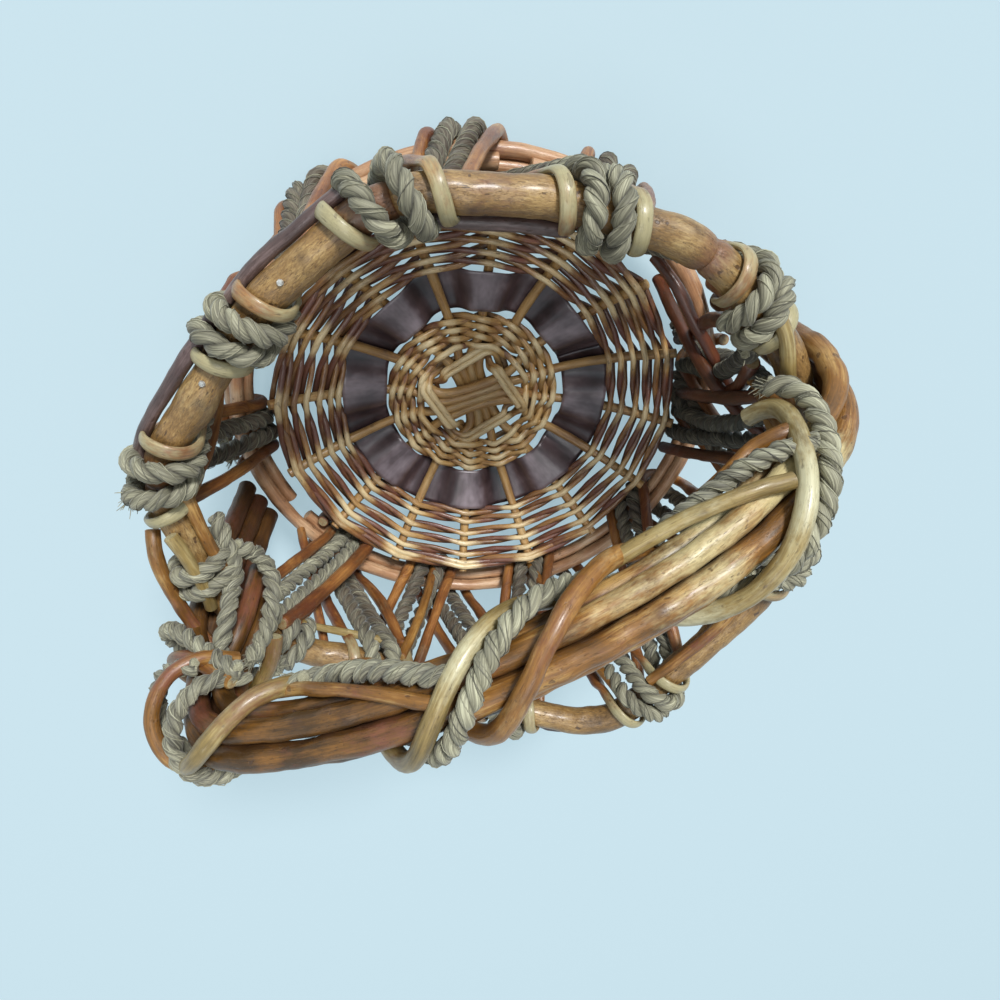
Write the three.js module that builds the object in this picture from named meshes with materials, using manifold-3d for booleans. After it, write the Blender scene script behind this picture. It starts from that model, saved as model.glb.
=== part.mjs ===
// A vine basket with a fixed arched handle. Millimetres, +Z up, the handle in the XZ plane.
// Origin: the middle of the whole basket, level with the underside of the woven base.
import * as THREE from "three";
import { mergeVertices } from "three/addons/utils/BufferGeometryUtils.js";
import Module from "manifold-3d";

// Clearances
const FIT = 0.35; // between two pieces that touch on the real basket
const BUTT_GAP = 0.5; // between the ends of two rim branches

// Woven base: a shallow dish of two weaves with a ribbon between them, on stakes from a cross
const STAKE_COUNT = 16;
const STAKE_TURN = -7; // degrees, direction of one stake
const STAKE_DIA = 4.7;
const CROSS_TURN = -9; // degrees, direction of the upper four rods at the middle
const CROSS_GAP = 0.7; // between two rods of the cross, side by side
const CROSS_REACH = 19; // the rods run side by side to here
const FAN_RADIUS = 36; // the rods have fanned out to their own directions here
const LAYER_GAP = 0.4; // between the upper and the lower rods of the cross
const INNER_WEAVE_IN = 22;
const INNER_WEAVE_OUT = 48.5;
const RIBBON_OUT = 71.5;
const WEAVE_EDGE = 105;
const WEAVE_THICK = 10.4;
const DISH_FLAT = 42; // radius inside which the base is flat
const DISH_RISE = 24.4; // height of the dish's edge above its middle
const DISH_POWER = 1.6;
const RIBBON_THICK = 0.9;
const RIBBON_MARGIN = 0.6; // the ribbon stops this far from each weave

// Hoop: three rods outside the dish, bound together by the side strands
const HOOP_ROD_DIA = 6.6;
const HOOP_DROP = 9.6; // the hoop lies this far below the middle of the dish's edge
const HOOP_OPENING = 7; // degrees, left between the cut ends of one hoop rod
const HOOP_STARTS = [58, 187, 305]; // degrees, where each hoop rod begins
const HOOP_STEPS = 36;
const HOOP_GAP = 0.75; // between two hoop rods, whose straight steps don't line up

// Rim: thick branches end to end. Each bend is [azimuth in degrees, how far outside the middle of
// the hoop, how far above RIM_HEIGHT]
const BRANCH_DIA = 13.7;
const RIM_HEIGHT = 116;
const RIM_BENDS = [
  [8, 12, 1],
  [31, 11, 0],
  [56, 7, 0],
  [81, 13, 0],
  [109, 3, -1],
  [146, 17, -2],
  [176, 9, -6],
  [197, 11, -13],
  [219, -4, -14],
  [238, 3, -6],
  [269, 26, 11],
  [290, 13, 8],
  [313, 18, 5],
  [340, 19, 3],
];
const RIM_EASE = 7; // degrees, each bend is eased over this much on both sides
const BRANCH_STEP = 7; // degrees, between two rings of a branch
const BRANCH_JOINTS = [0, 31, 81, 147, 180, 218, 281, 322]; // degrees

// Side lacing: a rod, two ropes and a rod side by side, over the rim and under the hoop
const SIDE_ROD_DIA = 6.4;
const SIDE_ROPE_DIA = 8.4;
const NEAR_WALL = [19, 34.5, 50, 66, 81.5, 97, 113, 129, 145.5, 161.5]; // rim, hoop, rim and so on
const FAR_WALL = [203, 218, 233.5, 249, 265, 281, 301.5, 322, 341]; // hoop, rim, hoop and so on
const WRAP_LEAN = 12; // how far a strand moves along the rim while it goes over it
const WRAP_STEPS = 5;
const WRAP_SLACK = 1.08; // a wrap of few steps stands off by this, so that its chords are clear
const LACE_BOW = 5; // the outer rods of a band bow out or in by this between rim and hoop

// Lashings: short rope windings round the rim beside the handle's feet
const LASH_ROPE_DIA = 8;
const LASH_LOOPS = 2;
const LASH_GAP = 0.8; // between two loops where they are nearest
const LASH_ROOM = 0.6; // between a loop and the branch
const LASH_STEPS = 12; // to a loop
const LASH_BESIDE = 0.6; // between a lashing and the handle's foot beside it
const LASHINGS = [
  { foot: 180, way: -1 },
  { foot: 180, way: 1 },
  { foot: 360, way: -1 },
]; // degrees, and the side of the foot

// Handle: five rods in a bundle along an arch. Each point of the bundle's middle is [share of the
// way from the middle of the basket to the foot, share of ARCH_HEIGHT above RIM_HEIGHT]
const CORE_ROD_DIA = 9.2;
const CORE_GAP = 1; // between two rods side by side, for their straight steps
const FOOT_GAP = 0.65; // between the branch and the rods that pass it
const INNER_TAIL = 15; // the inner rods end this far below the middle of the rim
const ARCH_HEIGHT = 82;
const ARCH = [
  [-1.054, 0.29],
  [-1.031, 0.54],
  [-0.938, 0.76],
  [-0.754, 0.89],
  [-0.462, 0.98],
  [-0.092, 1],
  [0.286, 0.93],
  [0.617, 0.76],
  [0.842, 0.52],
  [0.962, 0.32],
];
const ARCH_LEAN = 7; // the arch leans this far towards -Y above the rim
const LEAN_HEIGHT = 35; // it has leaned that far at this height above the rim
const SPREAD_START = 34; // above the rim, where the rods begin to part
const SPREAD_END = 9; // above the rim, where they have parted
const CORE_STEPS = 26;

// Nails through the rim branches, and one thin brace in the wall
const NAIL_HEAD_DIA = 2.6;
const NAIL_HEAD_THICK = 0.7;
const NAIL_DIA = 1.2;
const NAIL_LENGTH = 9;
const NAIL_POINT = 1;
const NAIL_SIDES = 8;
const NAIL_ANGLE = 78; // degrees round the branch, from outward to up
const NAILS = [101.5, 124]; // degrees round the rim
const BRACE_DIA = 5;
const BRACE_FOOT = 190.5; // degrees, on the hoop
const BRACE_TOP = 204; // degrees, under the rim
const BRACE_GAP = 1.3; // at the middle of its sloping ends

// Strands that wind round the handle
const SPIRAL_ROD_DIA = 7.4;
const SPIRAL_ROPE_DIA = 8.4;
const SPIRAL_END = 17; // above the rim's middle
const SPIRAL_FACE = 45; // degrees round the bundle from +Y, where CROSSINGS are counted
const CROSSINGS = [
  { share: 0.0, turns: -0.75 },
  { share: 0.23, turns: 0 },
  { share: 0.46, turns: 1 },
  { share: 0.845, turns: 2 },
  { share: 1.0, turns: 2.45 },
]; // turns of the pale rod at shares of the arch's length
const ROPE_GAP = 0.8; // between the pale rod and the rope beside it
const ORANGE_GAP = 7; // between that rope and the orange rod
const ROPE_START = 0.3; // share of the arch where the rope's end is tucked under the pale rod
const ORANGE_START = 0.365; // and the orange rod's
const ORANGE_END = 0.74; // where its other end is tucked in
const SPIRAL_ROOM = 1.1; // between a strand and the bundle, for the straight steps of both
const CORNER_SHARE = 0.44; // of a core rod, more room where the parting rods make a square
const SPIRAL_STEPS = 54;

const SIDES = 6;
const BRANCH_SIDES = 8;
const TURN = Math.PI * 2;
const UP = new THREE.Vector3(0, 0, 1);

const rad = THREE.MathUtils.degToRad;
const deg = THREE.MathUtils.radToDeg;

function polar(azimuth, radius, z) {
  return new THREE.Vector3(radius * Math.cos(rad(azimuth)), radius * Math.sin(rad(azimuth)), z);
}

const wasm = await Module();
wasm.setup();

function toSolid(geometry) {
  const bare = geometry.clone();
  bare.deleteAttribute("normal");
  bare.deleteAttribute("uv");
  const merged = mergeVertices(bare, 1e-4);
  const mesh = new wasm.Mesh({
    numProp: 3,
    vertProperties: merged.attributes.position.array,
    triVerts: new Uint32Array(merged.index.array),
  });
  return new wasm.Manifold(mesh);
}

function toGeometry(solid) {
  const mesh = solid.getMesh();
  const geometry = new THREE.BufferGeometry();
  geometry.setAttribute("position", new THREE.BufferAttribute(new Float32Array(mesh.vertProperties), 3));
  geometry.setIndex(new THREE.BufferAttribute(new Uint32Array(mesh.triVerts), 1));
  geometry.computeVertexNormals();
  return geometry;
}

// A closed tube through the given points: one ring of corners at each point, and two flat ends,
// square to the tube unless faceAlong gives their directions
function tube(points, diameter, sides = SIDES, faceAlong = []) {
  const positions = [];
  const faces = [];
  let side = null;
  const last = points.length - 1;
  points.forEach((point, i) => {
    const inward = point.clone().sub(points[Math.max(i - 1, 0)]).normalize();
    const outward = points[Math.min(i + 1, last)].clone().sub(point).normalize();
    let along = inward.add(outward).normalize();
    if (i === 0 && faceAlong[0]) along = faceAlong[0].clone();
    if (i === last && faceAlong[1]) along = faceAlong[1].clone();
    if (!side) side = new THREE.Vector3(0.31, 0.17, 0.93).cross(along);
    side.sub(along.clone().multiplyScalar(side.dot(along))).normalize();
    const other = along.clone().cross(side);
    for (let k = 0; k < sides; k += 1) {
      const angle = (TURN * k) / sides;
      const corner = point.clone();
      corner.addScaledVector(side, (Math.cos(angle) * diameter) / 2);
      corner.addScaledVector(other, (Math.sin(angle) * diameter) / 2);
      positions.push(corner.x, corner.y, corner.z);
    }
  });
  for (let i = 0; i < points.length - 1; i += 1) {
    for (let k = 0; k < sides; k += 1) {
      const a = i * sides + k;
      const b = i * sides + ((k + 1) % sides);
      faces.push(a, b, b + sides);
      faces.push(a, b + sides, a + sides);
    }
  }
  const end = last * sides;
  for (let k = 1; k < sides - 1; k += 1) {
    faces.push(0, k + 1, k);
    faces.push(end, end + k, end + k + 1);
  }
  const geometry = new THREE.BufferGeometry();
  geometry.setAttribute("position", new THREE.Float32BufferAttribute(positions, 3));
  geometry.setIndex(faces);
  geometry.computeVertexNormals();
  return geometry;
}

// A rod of one diameter along a smooth curve
function rod(points, diameter, steps, sides = SIDES) {
  const section = new THREE.Shape();
  for (let k = 0; k < sides; k += 1) {
    const angle = (TURN * (k + 0.5)) / sides;
    const x = (Math.cos(angle) * diameter) / 2;
    const y = (Math.sin(angle) * diameter) / 2;
    if (k === 0) section.moveTo(x, y);
    else section.lineTo(x, y);
  }
  section.closePath();
  const extrudePath = new THREE.CatmullRomCurve3(points, false, "centripetal");
  return new THREE.ExtrudeGeometry(section, { steps, extrudePath, bevelEnabled: false });
}

// The least gap between two parts of a winding, measured on points along its middle line
function leastSelfGap(points, diameter) {
  const spacing = 1.5;
  const curve = new THREE.CurvePath();
  for (let i = 0; i < points.length - 1; i += 1) {
    curve.add(new THREE.LineCurve3(points[i], points[i + 1]));
  }
  const length = curve.getLength();
  const dense = curve.getSpacedPoints(Math.round(length / spacing));
  const step = length / (dense.length - 1);
  const apart = Math.ceil((diameter * 2.2) / step);
  let least = Infinity;
  for (let i = 0; i < dense.length; i += 1) {
    for (let j = i + apart; j < dense.length; j += 1) {
      least = Math.min(least, dense[i].distanceTo(dense[j]));
    }
  }
  return least - diameter;
}

function material(color, roughness, metalness = 0) {
  return new THREE.MeshStandardMaterial({ color, roughness, metalness });
}

const finish = {
  wicker: () => material(0xa9834f, 0.45),
  stake: () => material(0xb08a58, 0.45),
  ribbon: () => material(0x4a3638, 0.4),
  hoop: () => material(0xc99468, 0.5),
  branch: () => material(0xb07a3e, 0.4),
  sideRod: () => material(0xa85f2e, 0.4),
  rope: () => material(0x8b8468, 0.8),
  core: () => material(0xc9a96a, 0.4),
  paleRod: () => material(0xd8c48c, 0.4),
  orangeRod: () => material(0xb07434, 0.4),
  nail: () => material(0x8a8a86, 0.35, 0.9),
};

function piece(name, geometry, makeMaterial) {
  const mesh = new THREE.Mesh(geometry, makeMaterial());
  mesh.name = name;
  return mesh;
}

// A wound strand as one unbroken tube
function winding(name, line, diameter, makeMaterial) {
  console.log(name, "least gap to itself", leastSelfGap(line, diameter).toFixed(2), "mm");
  return piece(name, tube(line, diameter), makeMaterial);
}

// Base

function dishZ(radius) {
  const t = Math.max(0, (radius - DISH_FLAT) / (WEAVE_EDGE - DISH_FLAT));
  return WEAVE_THICK / 2 + DISH_RISE * t ** DISH_POWER;
}

// The middle line of one through rod: fanned at both ends, straight and raised or lowered between
function stakeLine(index) {
  const upper = index < 4;
  const place = index % 4;
  const lift = ((STAKE_DIA + LAYER_GAP) / 2) * (upper ? 1 : -1);
  const heading = CROSS_TURN + (upper ? 0 : 90);
  const step = 360 / STAKE_COUNT;
  const first = STAKE_TURN - 2 * step + (upper ? 0 : 90);
  const sideStep = (place - 1.5) * (STAKE_DIA + CROSS_GAP);
  const ends = [
    { angle: first + place * step, reach: CROSS_REACH },
    { angle: first + 180 + (3 - place) * step, reach: -CROSS_REACH },
  ];
  const halves = ends.map(({ angle, reach }) => {
    const along = polar(heading, reach, dishZ(0) + lift);
    const across = polar(heading + 90, sideStep, 0);
    const shoulder = along.add(across);
    const radii = [FAN_RADIUS, INNER_WEAVE_OUT, (INNER_WEAVE_OUT + RIBBON_OUT) / 2, RIBBON_OUT];
    radii.push((RIBBON_OUT + WEAVE_EDGE) / 2, WEAVE_EDGE + FIT);
    return [shoulder, ...radii.map((r) => polar(angle, r, dishZ(r)))];
  });
  return [...halves[1].reverse(), ...halves[0]];
}

// The same line, run on straight at both ends
function lengthened(line, reach) {
  const runOn = (end, before) => end.clone().add(end.clone().sub(before).setLength(reach));
  const last = line.length - 1;
  return [runOn(line[0], line[1]), ...line, runOn(line[last], line[last - 1])];
}

// A ring of the dish through the given radii
function weaveRing(radii, segments) {
  const under = radii.map((r) => new THREE.Vector2(r, dishZ(r) - WEAVE_THICK / 2));
  const over = radii.map((r) => new THREE.Vector2(r, dishZ(r) + WEAVE_THICK / 2));
  const profile = [...under, ...over.reverse(), under[0].clone()];
  const lathe = new THREE.LatheGeometry(profile, segments);
  lathe.rotateX(Math.PI / 2);
  return toSolid(lathe);
}

// The flat ribbon, a closed ring that bulges over one stake and dips under the next
function ribbonRing() {
  const perStake = 4;
  const count = STAKE_COUNT * perStake;
  const inner = INNER_WEAVE_OUT + RIBBON_MARGIN;
  const outer = RIBBON_OUT - RIBBON_MARGIN;
  const slope = (dishZ(outer) - dishZ(inner)) / (outer - inner);
  const bulge = (STAKE_DIA / 2 + RIBBON_THICK / 2 + 2 * FIT) * Math.hypot(1, slope);
  const positions = [];
  const faces = [];
  for (let i = 0; i < count; i += 1) {
    const azimuth = STAKE_TURN + (360 * i) / count;
    const wave = Math.cos((Math.PI * i) / perStake);
    const lift = bulge * Math.sign(wave) * Math.min(1, Math.abs(wave) * 1.35);
    const corners = [
      [inner, -1],
      [outer, -1],
      [outer, 1],
      [inner, 1],
    ];
    corners.forEach(([r, face]) => {
      const p = polar(azimuth, r, dishZ(r) - lift + (face * RIBBON_THICK) / 2);
      positions.push(p.x, p.y, p.z);
    });
  }
  for (let i = 0; i < count; i += 1) {
    const next = (i + 1) % count;
    for (let k = 0; k < 4; k += 1) {
      const a = i * 4 + k;
      const b = i * 4 + ((k + 1) % 4);
      const c = next * 4 + ((k + 1) % 4);
      const d = next * 4 + k;
      faces.push(a, c, b);
      faces.push(a, d, c);
    }
  }
  const geometry = new THREE.BufferGeometry();
  geometry.setAttribute("position", new THREE.Float32BufferAttribute(positions, 3));
  geometry.setIndex(faces);
  geometry.computeVertexNormals();
  return geometry;
}

function makeBase() {
  const group = new THREE.Group();
  let inner = weaveRing([INNER_WEAVE_IN, DISH_FLAT, INNER_WEAVE_OUT], 24);
  let outer = weaveRing([RIBBON_OUT, (RIBBON_OUT + WEAVE_EDGE) / 2, WEAVE_EDGE], 32);
  for (let i = 0; i < STAKE_COUNT / 2; i += 1) {
    const line = stakeLine(i);
    group.add(piece(`base_rod_${i + 1}`, tube(line, STAKE_DIA), finish.stake));
    const cutter = toSolid(tube(lengthened(line, STAKE_DIA), STAKE_DIA + 2 * FIT));
    inner = inner.subtract(cutter);
    outer = outer.subtract(cutter);
  }
  group.add(piece("inner_weave", toGeometry(inner), finish.wicker));
  group.add(piece("outer_weave", toGeometry(outer), finish.wicker));
  group.add(piece("ribbon", ribbonRing(), finish.ribbon));
  return group;
}

// Hoop: three rods side by side, and the bundle lies just clear of the strands round it

const HOOP_Z = dishZ(WEAVE_EDGE) - HOOP_DROP;
const hoopOffset = (HOOP_ROD_DIA + HOOP_GAP) / Math.sqrt(3); // from the middle of the bundle to a rod
const hoopReach = hoopOffset + HOOP_ROD_DIA / 2; // from the middle of the bundle to its outside
const hoopWrap = (diameter) => (hoopReach + FIT + diameter / 2) * WRAP_SLACK;
const HOOP_RADIUS = Math.sqrt(
  (hoopWrap(SIDE_ROPE_DIA) + SIDE_ROPE_DIA / 2 + FIT) ** 2 -
    (dishZ(WEAVE_EDGE) - WEAVE_THICK / 2 - HOOP_Z) ** 2,
) + WEAVE_EDGE;

function makeHoop() {
  const group = new THREE.Group();
  [90, 210, 330].forEach((angle, i) => {
    const radius = HOOP_RADIUS + hoopOffset * Math.cos(rad(angle));
    const z = HOOP_Z + hoopOffset * Math.sin(rad(angle));
    const points = [];
    for (let k = 0; k <= HOOP_STEPS; k += 1) {
      const azimuth = HOOP_STARTS[i] + HOOP_OPENING / 2 + ((360 - HOOP_OPENING) * k) / HOOP_STEPS;
      points.push(polar(azimuth, radius, z));
    }
    group.add(piece(`hoop_rod_${i + 1}`, rod(points, HOOP_ROD_DIA, HOOP_STEPS), finish.hoop));
  });
  return group;
}

// Rim

const rimBends = RIM_BENDS.map(([azimuth, out, up]) => {
  return { azimuth, radius: HOOP_RADIUS + out, z: RIM_HEIGHT + up };
});

function rimChord(azimuth) {
  const a = ((azimuth % 360) + 360) % 360;
  const next = rimBends.findIndex((bend) => bend.azimuth > a);
  const to = next < 0 ? rimBends[0] : rimBends[next];
  const from = next < 1 ? rimBends[rimBends.length - 1] : rimBends[next - 1];
  const fromSine = from.radius * Math.sin(rad(a - from.azimuth));
  const toSine = to.radius * Math.sin(rad(to.azimuth - a));
  const start = polar(from.azimuth, from.radius, from.z);
  return start.lerp(polar(to.azimuth, to.radius, to.z), fromSine / (fromSine + toSine));
}

// The middle line of the rim: the straight runs between bends, with each bend eased
function rimCentre(azimuth) {
  const samples = 8;
  const sum = new THREE.Vector3();
  for (let k = 0; k <= samples; k += 1) {
    sum.add(rimChord(azimuth + RIM_EASE * ((2 * k) / samples - 1)));
  }
  return sum.divideScalar(samples + 1);
}

// Middle, direction along the rim, outward and up at one azimuth
function rimFrame(azimuth) {
  const centre = rimCentre(azimuth);
  const along = rimCentre(azimuth + 1).sub(rimCentre(azimuth - 1)).normalize();
  const outward = along.clone().cross(UP).normalize();
  const up = outward.clone().cross(along).normalize();
  return { centre, along, outward, up };
}

function hoopFrame(azimuth) {
  const centre = polar(azimuth, HOOP_RADIUS, HOOP_Z);
  return { centre, along: polar(azimuth + 90, 1, 0), outward: polar(azimuth, 1, 0), up: UP.clone() };
}

function frameTurn(frame, angle, distance) {
  return frame.centre
    .clone()
    .addScaledVector(frame.outward, Math.cos(rad(angle)) * distance)
    .addScaledVector(frame.up, Math.sin(rad(angle)) * distance);
}

// A nail along +Z with the underside of its head at the origin
function nailGeometry() {
  const head = NAIL_HEAD_DIA / 2;
  const shank = NAIL_DIA / 2;
  const profile = [
    [0, -NAIL_LENGTH],
    [shank, -NAIL_LENGTH + NAIL_POINT],
    [shank, 0],
    [head, 0],
    [head * 0.8, NAIL_HEAD_THICK],
    [0, NAIL_HEAD_THICK],
  ];
  const points = profile.map(([r, y]) => new THREE.Vector2(r, y));
  return new THREE.LatheGeometry(points, NAIL_SIDES).rotateX(Math.PI / 2);
}

function nailHole() {
  const depth = NAIL_LENGTH + 2 * FIT;
  const radius = NAIL_DIA / 2 + FIT;
  const above = BRANCH_DIA / 2;
  const geometry = new THREE.CylinderGeometry(radius, radius, depth + above, NAIL_SIDES);
  return geometry.rotateX(Math.PI / 2).translate(0, 0, (above - depth) / 2);
}

function nailPlace(azimuth) {
  const frame = rimFrame(azimuth);
  const seat = frameTurn(frame, NAIL_ANGLE, BRANCH_DIA / 2 + FIT);
  const along = seat.clone().sub(frame.centre).normalize();
  const turn = new THREE.Quaternion().setFromUnitVectors(UP, along);
  return new THREE.Matrix4().compose(seat, turn, new THREE.Vector3(1, 1, 1));
}

function makeRim() {
  const group = new THREE.Group();
  BRANCH_JOINTS.forEach((start, i) => {
    const end = i + 1 < BRANCH_JOINTS.length ? BRANCH_JOINTS[i + 1] : 360;
    const half = deg(BUTT_GAP / 2 / rimCentre(start).length());
    const steps = Math.round((end - start) / BRANCH_STEP);
    const points = [];
    for (let k = 0; k <= steps; k += 1) {
      points.push(rimCentre(start + half + ((end - start - 2 * half) * k) / steps));
    }
    const faceAlong = [rimFrame(start).along, rimFrame(end).along];
    let branch = toSolid(tube(points, BRANCH_DIA, BRANCH_SIDES, faceAlong));
    NAILS.filter((azimuth) => azimuth > start && azimuth < end).forEach((azimuth) => {
      branch = branch.subtract(toSolid(nailHole().applyMatrix4(nailPlace(azimuth))));
    });
    group.add(piece(`rim_branch_${i + 1}`, toGeometry(branch), finish.branch));
  });
  NAILS.forEach((azimuth, i) => {
    const nail = piece(`nail_${i + 1}`, nailGeometry(), finish.nail);
    nail.applyMatrix4(nailPlace(azimuth));
    group.add(nail);
  });
  const foot = frameTurn(hoopFrame(BRACE_FOOT), 90, hoopReach + BRACE_GAP);
  const top = frameTurn(rimFrame(BRACE_TOP), -90, BRANCH_DIA / 2 + BRACE_GAP);
  group.add(piece("wall_brace", rod([foot, top], BRACE_DIA, 2), finish.sideRod));
  return group;
}

// Side lacing

const rimWrap = (diameter) => (BRANCH_DIA / 2 + FIT + diameter / 2) * WRAP_SLACK;
const SIDE_STRANDS = [
  { name: "side_rod_lower", rope: false, bow: LACE_BOW },
  { name: "side_rope_lower", rope: true, bow: 0 },
  { name: "side_rope_upper", rope: true, bow: 0 },
  { name: "side_rod_upper", rope: false, bow: -LACE_BOW },
];
const sideDia = (strand) => (strand.rope ? SIDE_ROPE_DIA : SIDE_ROD_DIA);

// Degrees round the branch or the hoop, from where a strand meets it to where it leaves
const OVER_RIM = { frameAt: rimFrame, reach: rimWrap, from: 188, to: -21 };
const UNDER_HOOP = { frameAt: hoopFrame, reach: hoopWrap, from: -201, to: 7 };

function wrapPoint(wrap, azimuth, diameter, t) {
  const { centre } = wrap.frameAt(azimuth);
  const shift = deg(((t - 0.5) * WRAP_LEAN) / centre.length());
  const angle = wrap.from + (wrap.to - wrap.from) * t;
  return frameTurn(wrap.frameAt(azimuth + shift), angle, wrap.reach(diameter));
}

// The least distance between two strands while they go round the rim or the hoop
function wrapDistance(wrap, azimuthA, diameterA, azimuthB, diameterB) {
  let least = Infinity;
  for (let k = 0; k <= WRAP_STEPS; k += 1) {
    const t = k / WRAP_STEPS;
    const a = wrapPoint(wrap, azimuthA, diameterA, t);
    least = Math.min(least, a.distanceTo(wrapPoint(wrap, azimuthB, diameterB, t)));
  }
  return least;
}

// The azimuth of each strand at one wrap, side by side and clear of one another
function strandAzimuths(wrap, azimuth, slope) {
  const stepOn = 0.05;
  const passes = 3;
  let start = azimuth;
  let places = [];
  for (let pass = 0; pass < passes; pass += 1) {
    places = [start];
    for (let i = 1; i < SIDE_STRANDS.length; i += 1) {
      const a = sideDia(SIDE_STRANDS[i - 1]);
      const b = sideDia(SIDE_STRANDS[i]);
      const need = ((a + b) / 2 + FIT) / Math.cos(Math.max(slope, wrapSlope));
      let place = places[i - 1] + stepOn;
      while (wrapDistance(wrap, places[i - 1], a, place, b) < need) place += stepOn;
      places.push(place);
    }
    start = azimuth - (places[places.length - 1] - places[0]) / 2;
  }
  return places;
}

// How steeply a strand leans along the rim while it goes over it
const wrapSlope = Math.atan2(WRAP_LEAN, rimWrap(SIDE_ROD_DIA) * rad(OVER_RIM.from - OVER_RIM.to));

// How steeply the legs beside one station lean along the wall
function legSlope(stations, i) {
  const steps = [stations[i - 1], stations[i + 1]].filter((s) => s !== undefined);
  const widest = Math.max(...steps.map((s) => Math.abs(s - stations[i])));
  return Math.atan2(rad(widest) * HOOP_RADIUS, RIM_HEIGHT - HOOP_Z);
}

function lacingLines(stations, startsAtRim) {
  const lines = SIDE_STRANDS.map(() => []);
  stations.forEach((azimuth, i) => {
    const wrap = (i % 2 === 0) === startsAtRim ? OVER_RIM : UNDER_HOOP;
    const places = strandAzimuths(wrap, azimuth, legSlope(stations, i));
    SIDE_STRANDS.forEach((strand, j) => {
      const points = [];
      for (let k = 0; k <= WRAP_STEPS; k += 1) {
        points.push(wrapPoint(wrap, places[j], sideDia(strand), k / WRAP_STEPS));
      }
      const line = lines[j];
      if (line.length && strand.bow) {
        const middle = line[line.length - 1].clone().lerp(points[0], 0.5);
        const outward = new THREE.Vector3(middle.x, middle.y, 0).setLength(strand.bow);
        line.push(middle.add(outward));
      }
      line.push(...points);
    });
  });
  return lines;
}

function makeLacing() {
  const group = new THREE.Group();
  const walls = [
    { label: "a", stations: NEAR_WALL, startsAtRim: true },
    { label: "b", stations: FAR_WALL, startsAtRim: false },
  ];
  walls.forEach(({ label, stations, startsAtRim }) => {
    const lines = lacingLines(stations, startsAtRim);
    SIDE_STRANDS.forEach((strand, j) => {
      const name = `${strand.name}_${label}`;
      const look = strand.rope ? finish.rope : finish.sideRod;
      group.add(winding(name, lines[j], sideDia(strand), look));
    });
  });
  return group;
}

const footPitch = CORE_ROD_DIA + CORE_GAP; // between two rods side by side at a foot of the handle

// The azimuth step from one loop of a lashing to the next, clear where the rim bends
function loopStep(azimuth, distance) {
  let step = 0;
  let least = 0;
  while (least < LASH_ROPE_DIA + LASH_GAP) {
    step += 0.1;
    const here = rimFrame(azimuth - step / 2);
    const there = rimFrame(azimuth + step / 2);
    const gaps = [0, 90, 180, 270].map((angle) =>
      frameTurn(here, angle, distance).distanceTo(frameTurn(there, angle, distance)),
    );
    least = Math.min(...gaps);
  }
  return step;
}

function makeLashings() {
  const group = new THREE.Group();
  const reach = BRANCH_DIA / 2 + LASH_ROOM + LASH_ROPE_DIA / 2;
  const distance = reach / Math.cos(Math.PI / LASH_STEPS);
  const beside = footPitch + (CORE_ROD_DIA + LASH_ROPE_DIA) / 2 + LASH_BESIDE;
  LASHINGS.forEach(({ foot, way }, i) => {
    const line = [];
    let azimuth = foot + way * deg(beside / Math.abs(rimCentre(foot).x));
    for (let k = 0; k <= LASH_LOOPS * LASH_STEPS; k += 1) {
      line.push(frameTurn(rimFrame(azimuth), -90 + (360 * k) / LASH_STEPS, distance));
      azimuth += (way * loopStep(azimuth, distance)) / LASH_STEPS;
    }
    group.add(winding(`rim_lashing_${i + 1}`, line, LASH_ROPE_DIA, finish.rope));
  });
  return group;
}

// Handle

function smooth(t) {
  const s = Math.min(1, Math.max(0, t));
  return s * s * (3 - 2 * s);
}

const coreRing = (CORE_ROD_DIA + CORE_GAP) / 2 / Math.sin(Math.PI / 5); // bundle's middle to a rod's
const footSpread = (BRANCH_DIA + CORE_ROD_DIA) / 2 + FOOT_GAP; // rim's middle to a rod's
const feet = [rimCentre(180), rimCentre(0)];
const wallFoot = HOOP_RADIUS + hoopReach + FIT + CORE_ROD_DIA / 2;

// The middle line of the bundle from one foot over the arch to the other
function archCurve() {
  const points = ARCH.map(([along, up]) => {
    const foot = feet[along < 0 ? 0 : 1];
    const z = RIM_HEIGHT + up * ARCH_HEIGHT;
    const lean = -ARCH_LEAN * smooth((z - foot.z) / LEAN_HEIGHT);
    return new THREE.Vector3(Math.abs(along) * foot.x, lean, z);
  });
  return new THREE.CatmullRomCurve3([feet[0], ...points, feet[1]], false, "centripetal");
}

const arch = archCurve();

function archFrame(t) {
  const centre = arch.getPointAt(t);
  const along = arch.getTangentAt(t);
  const across = new THREE.Vector3(0, 1, 0);
  const outward = across.clone().cross(along).normalize().negate();
  return { centre, along, across, outward };
}

// 0 on the arch, 1 at the rim
function spread(t) {
  const centre = arch.getPointAt(t);
  const foot = feet[t < 0.5 ? 0 : 1];
  return smooth((SPREAD_START - (centre.z - foot.z)) / (SPREAD_START - SPREAD_END));
}

const CORE_RODS = [
  { ring: 90, out: 1, side: 0 },
  { ring: 18, out: 1, side: 1 },
  { ring: 162, out: 1, side: -1 },
  { ring: -54, out: -1, side: 0.5 },
  { ring: -126, out: -1, side: -0.5 },
];

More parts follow.
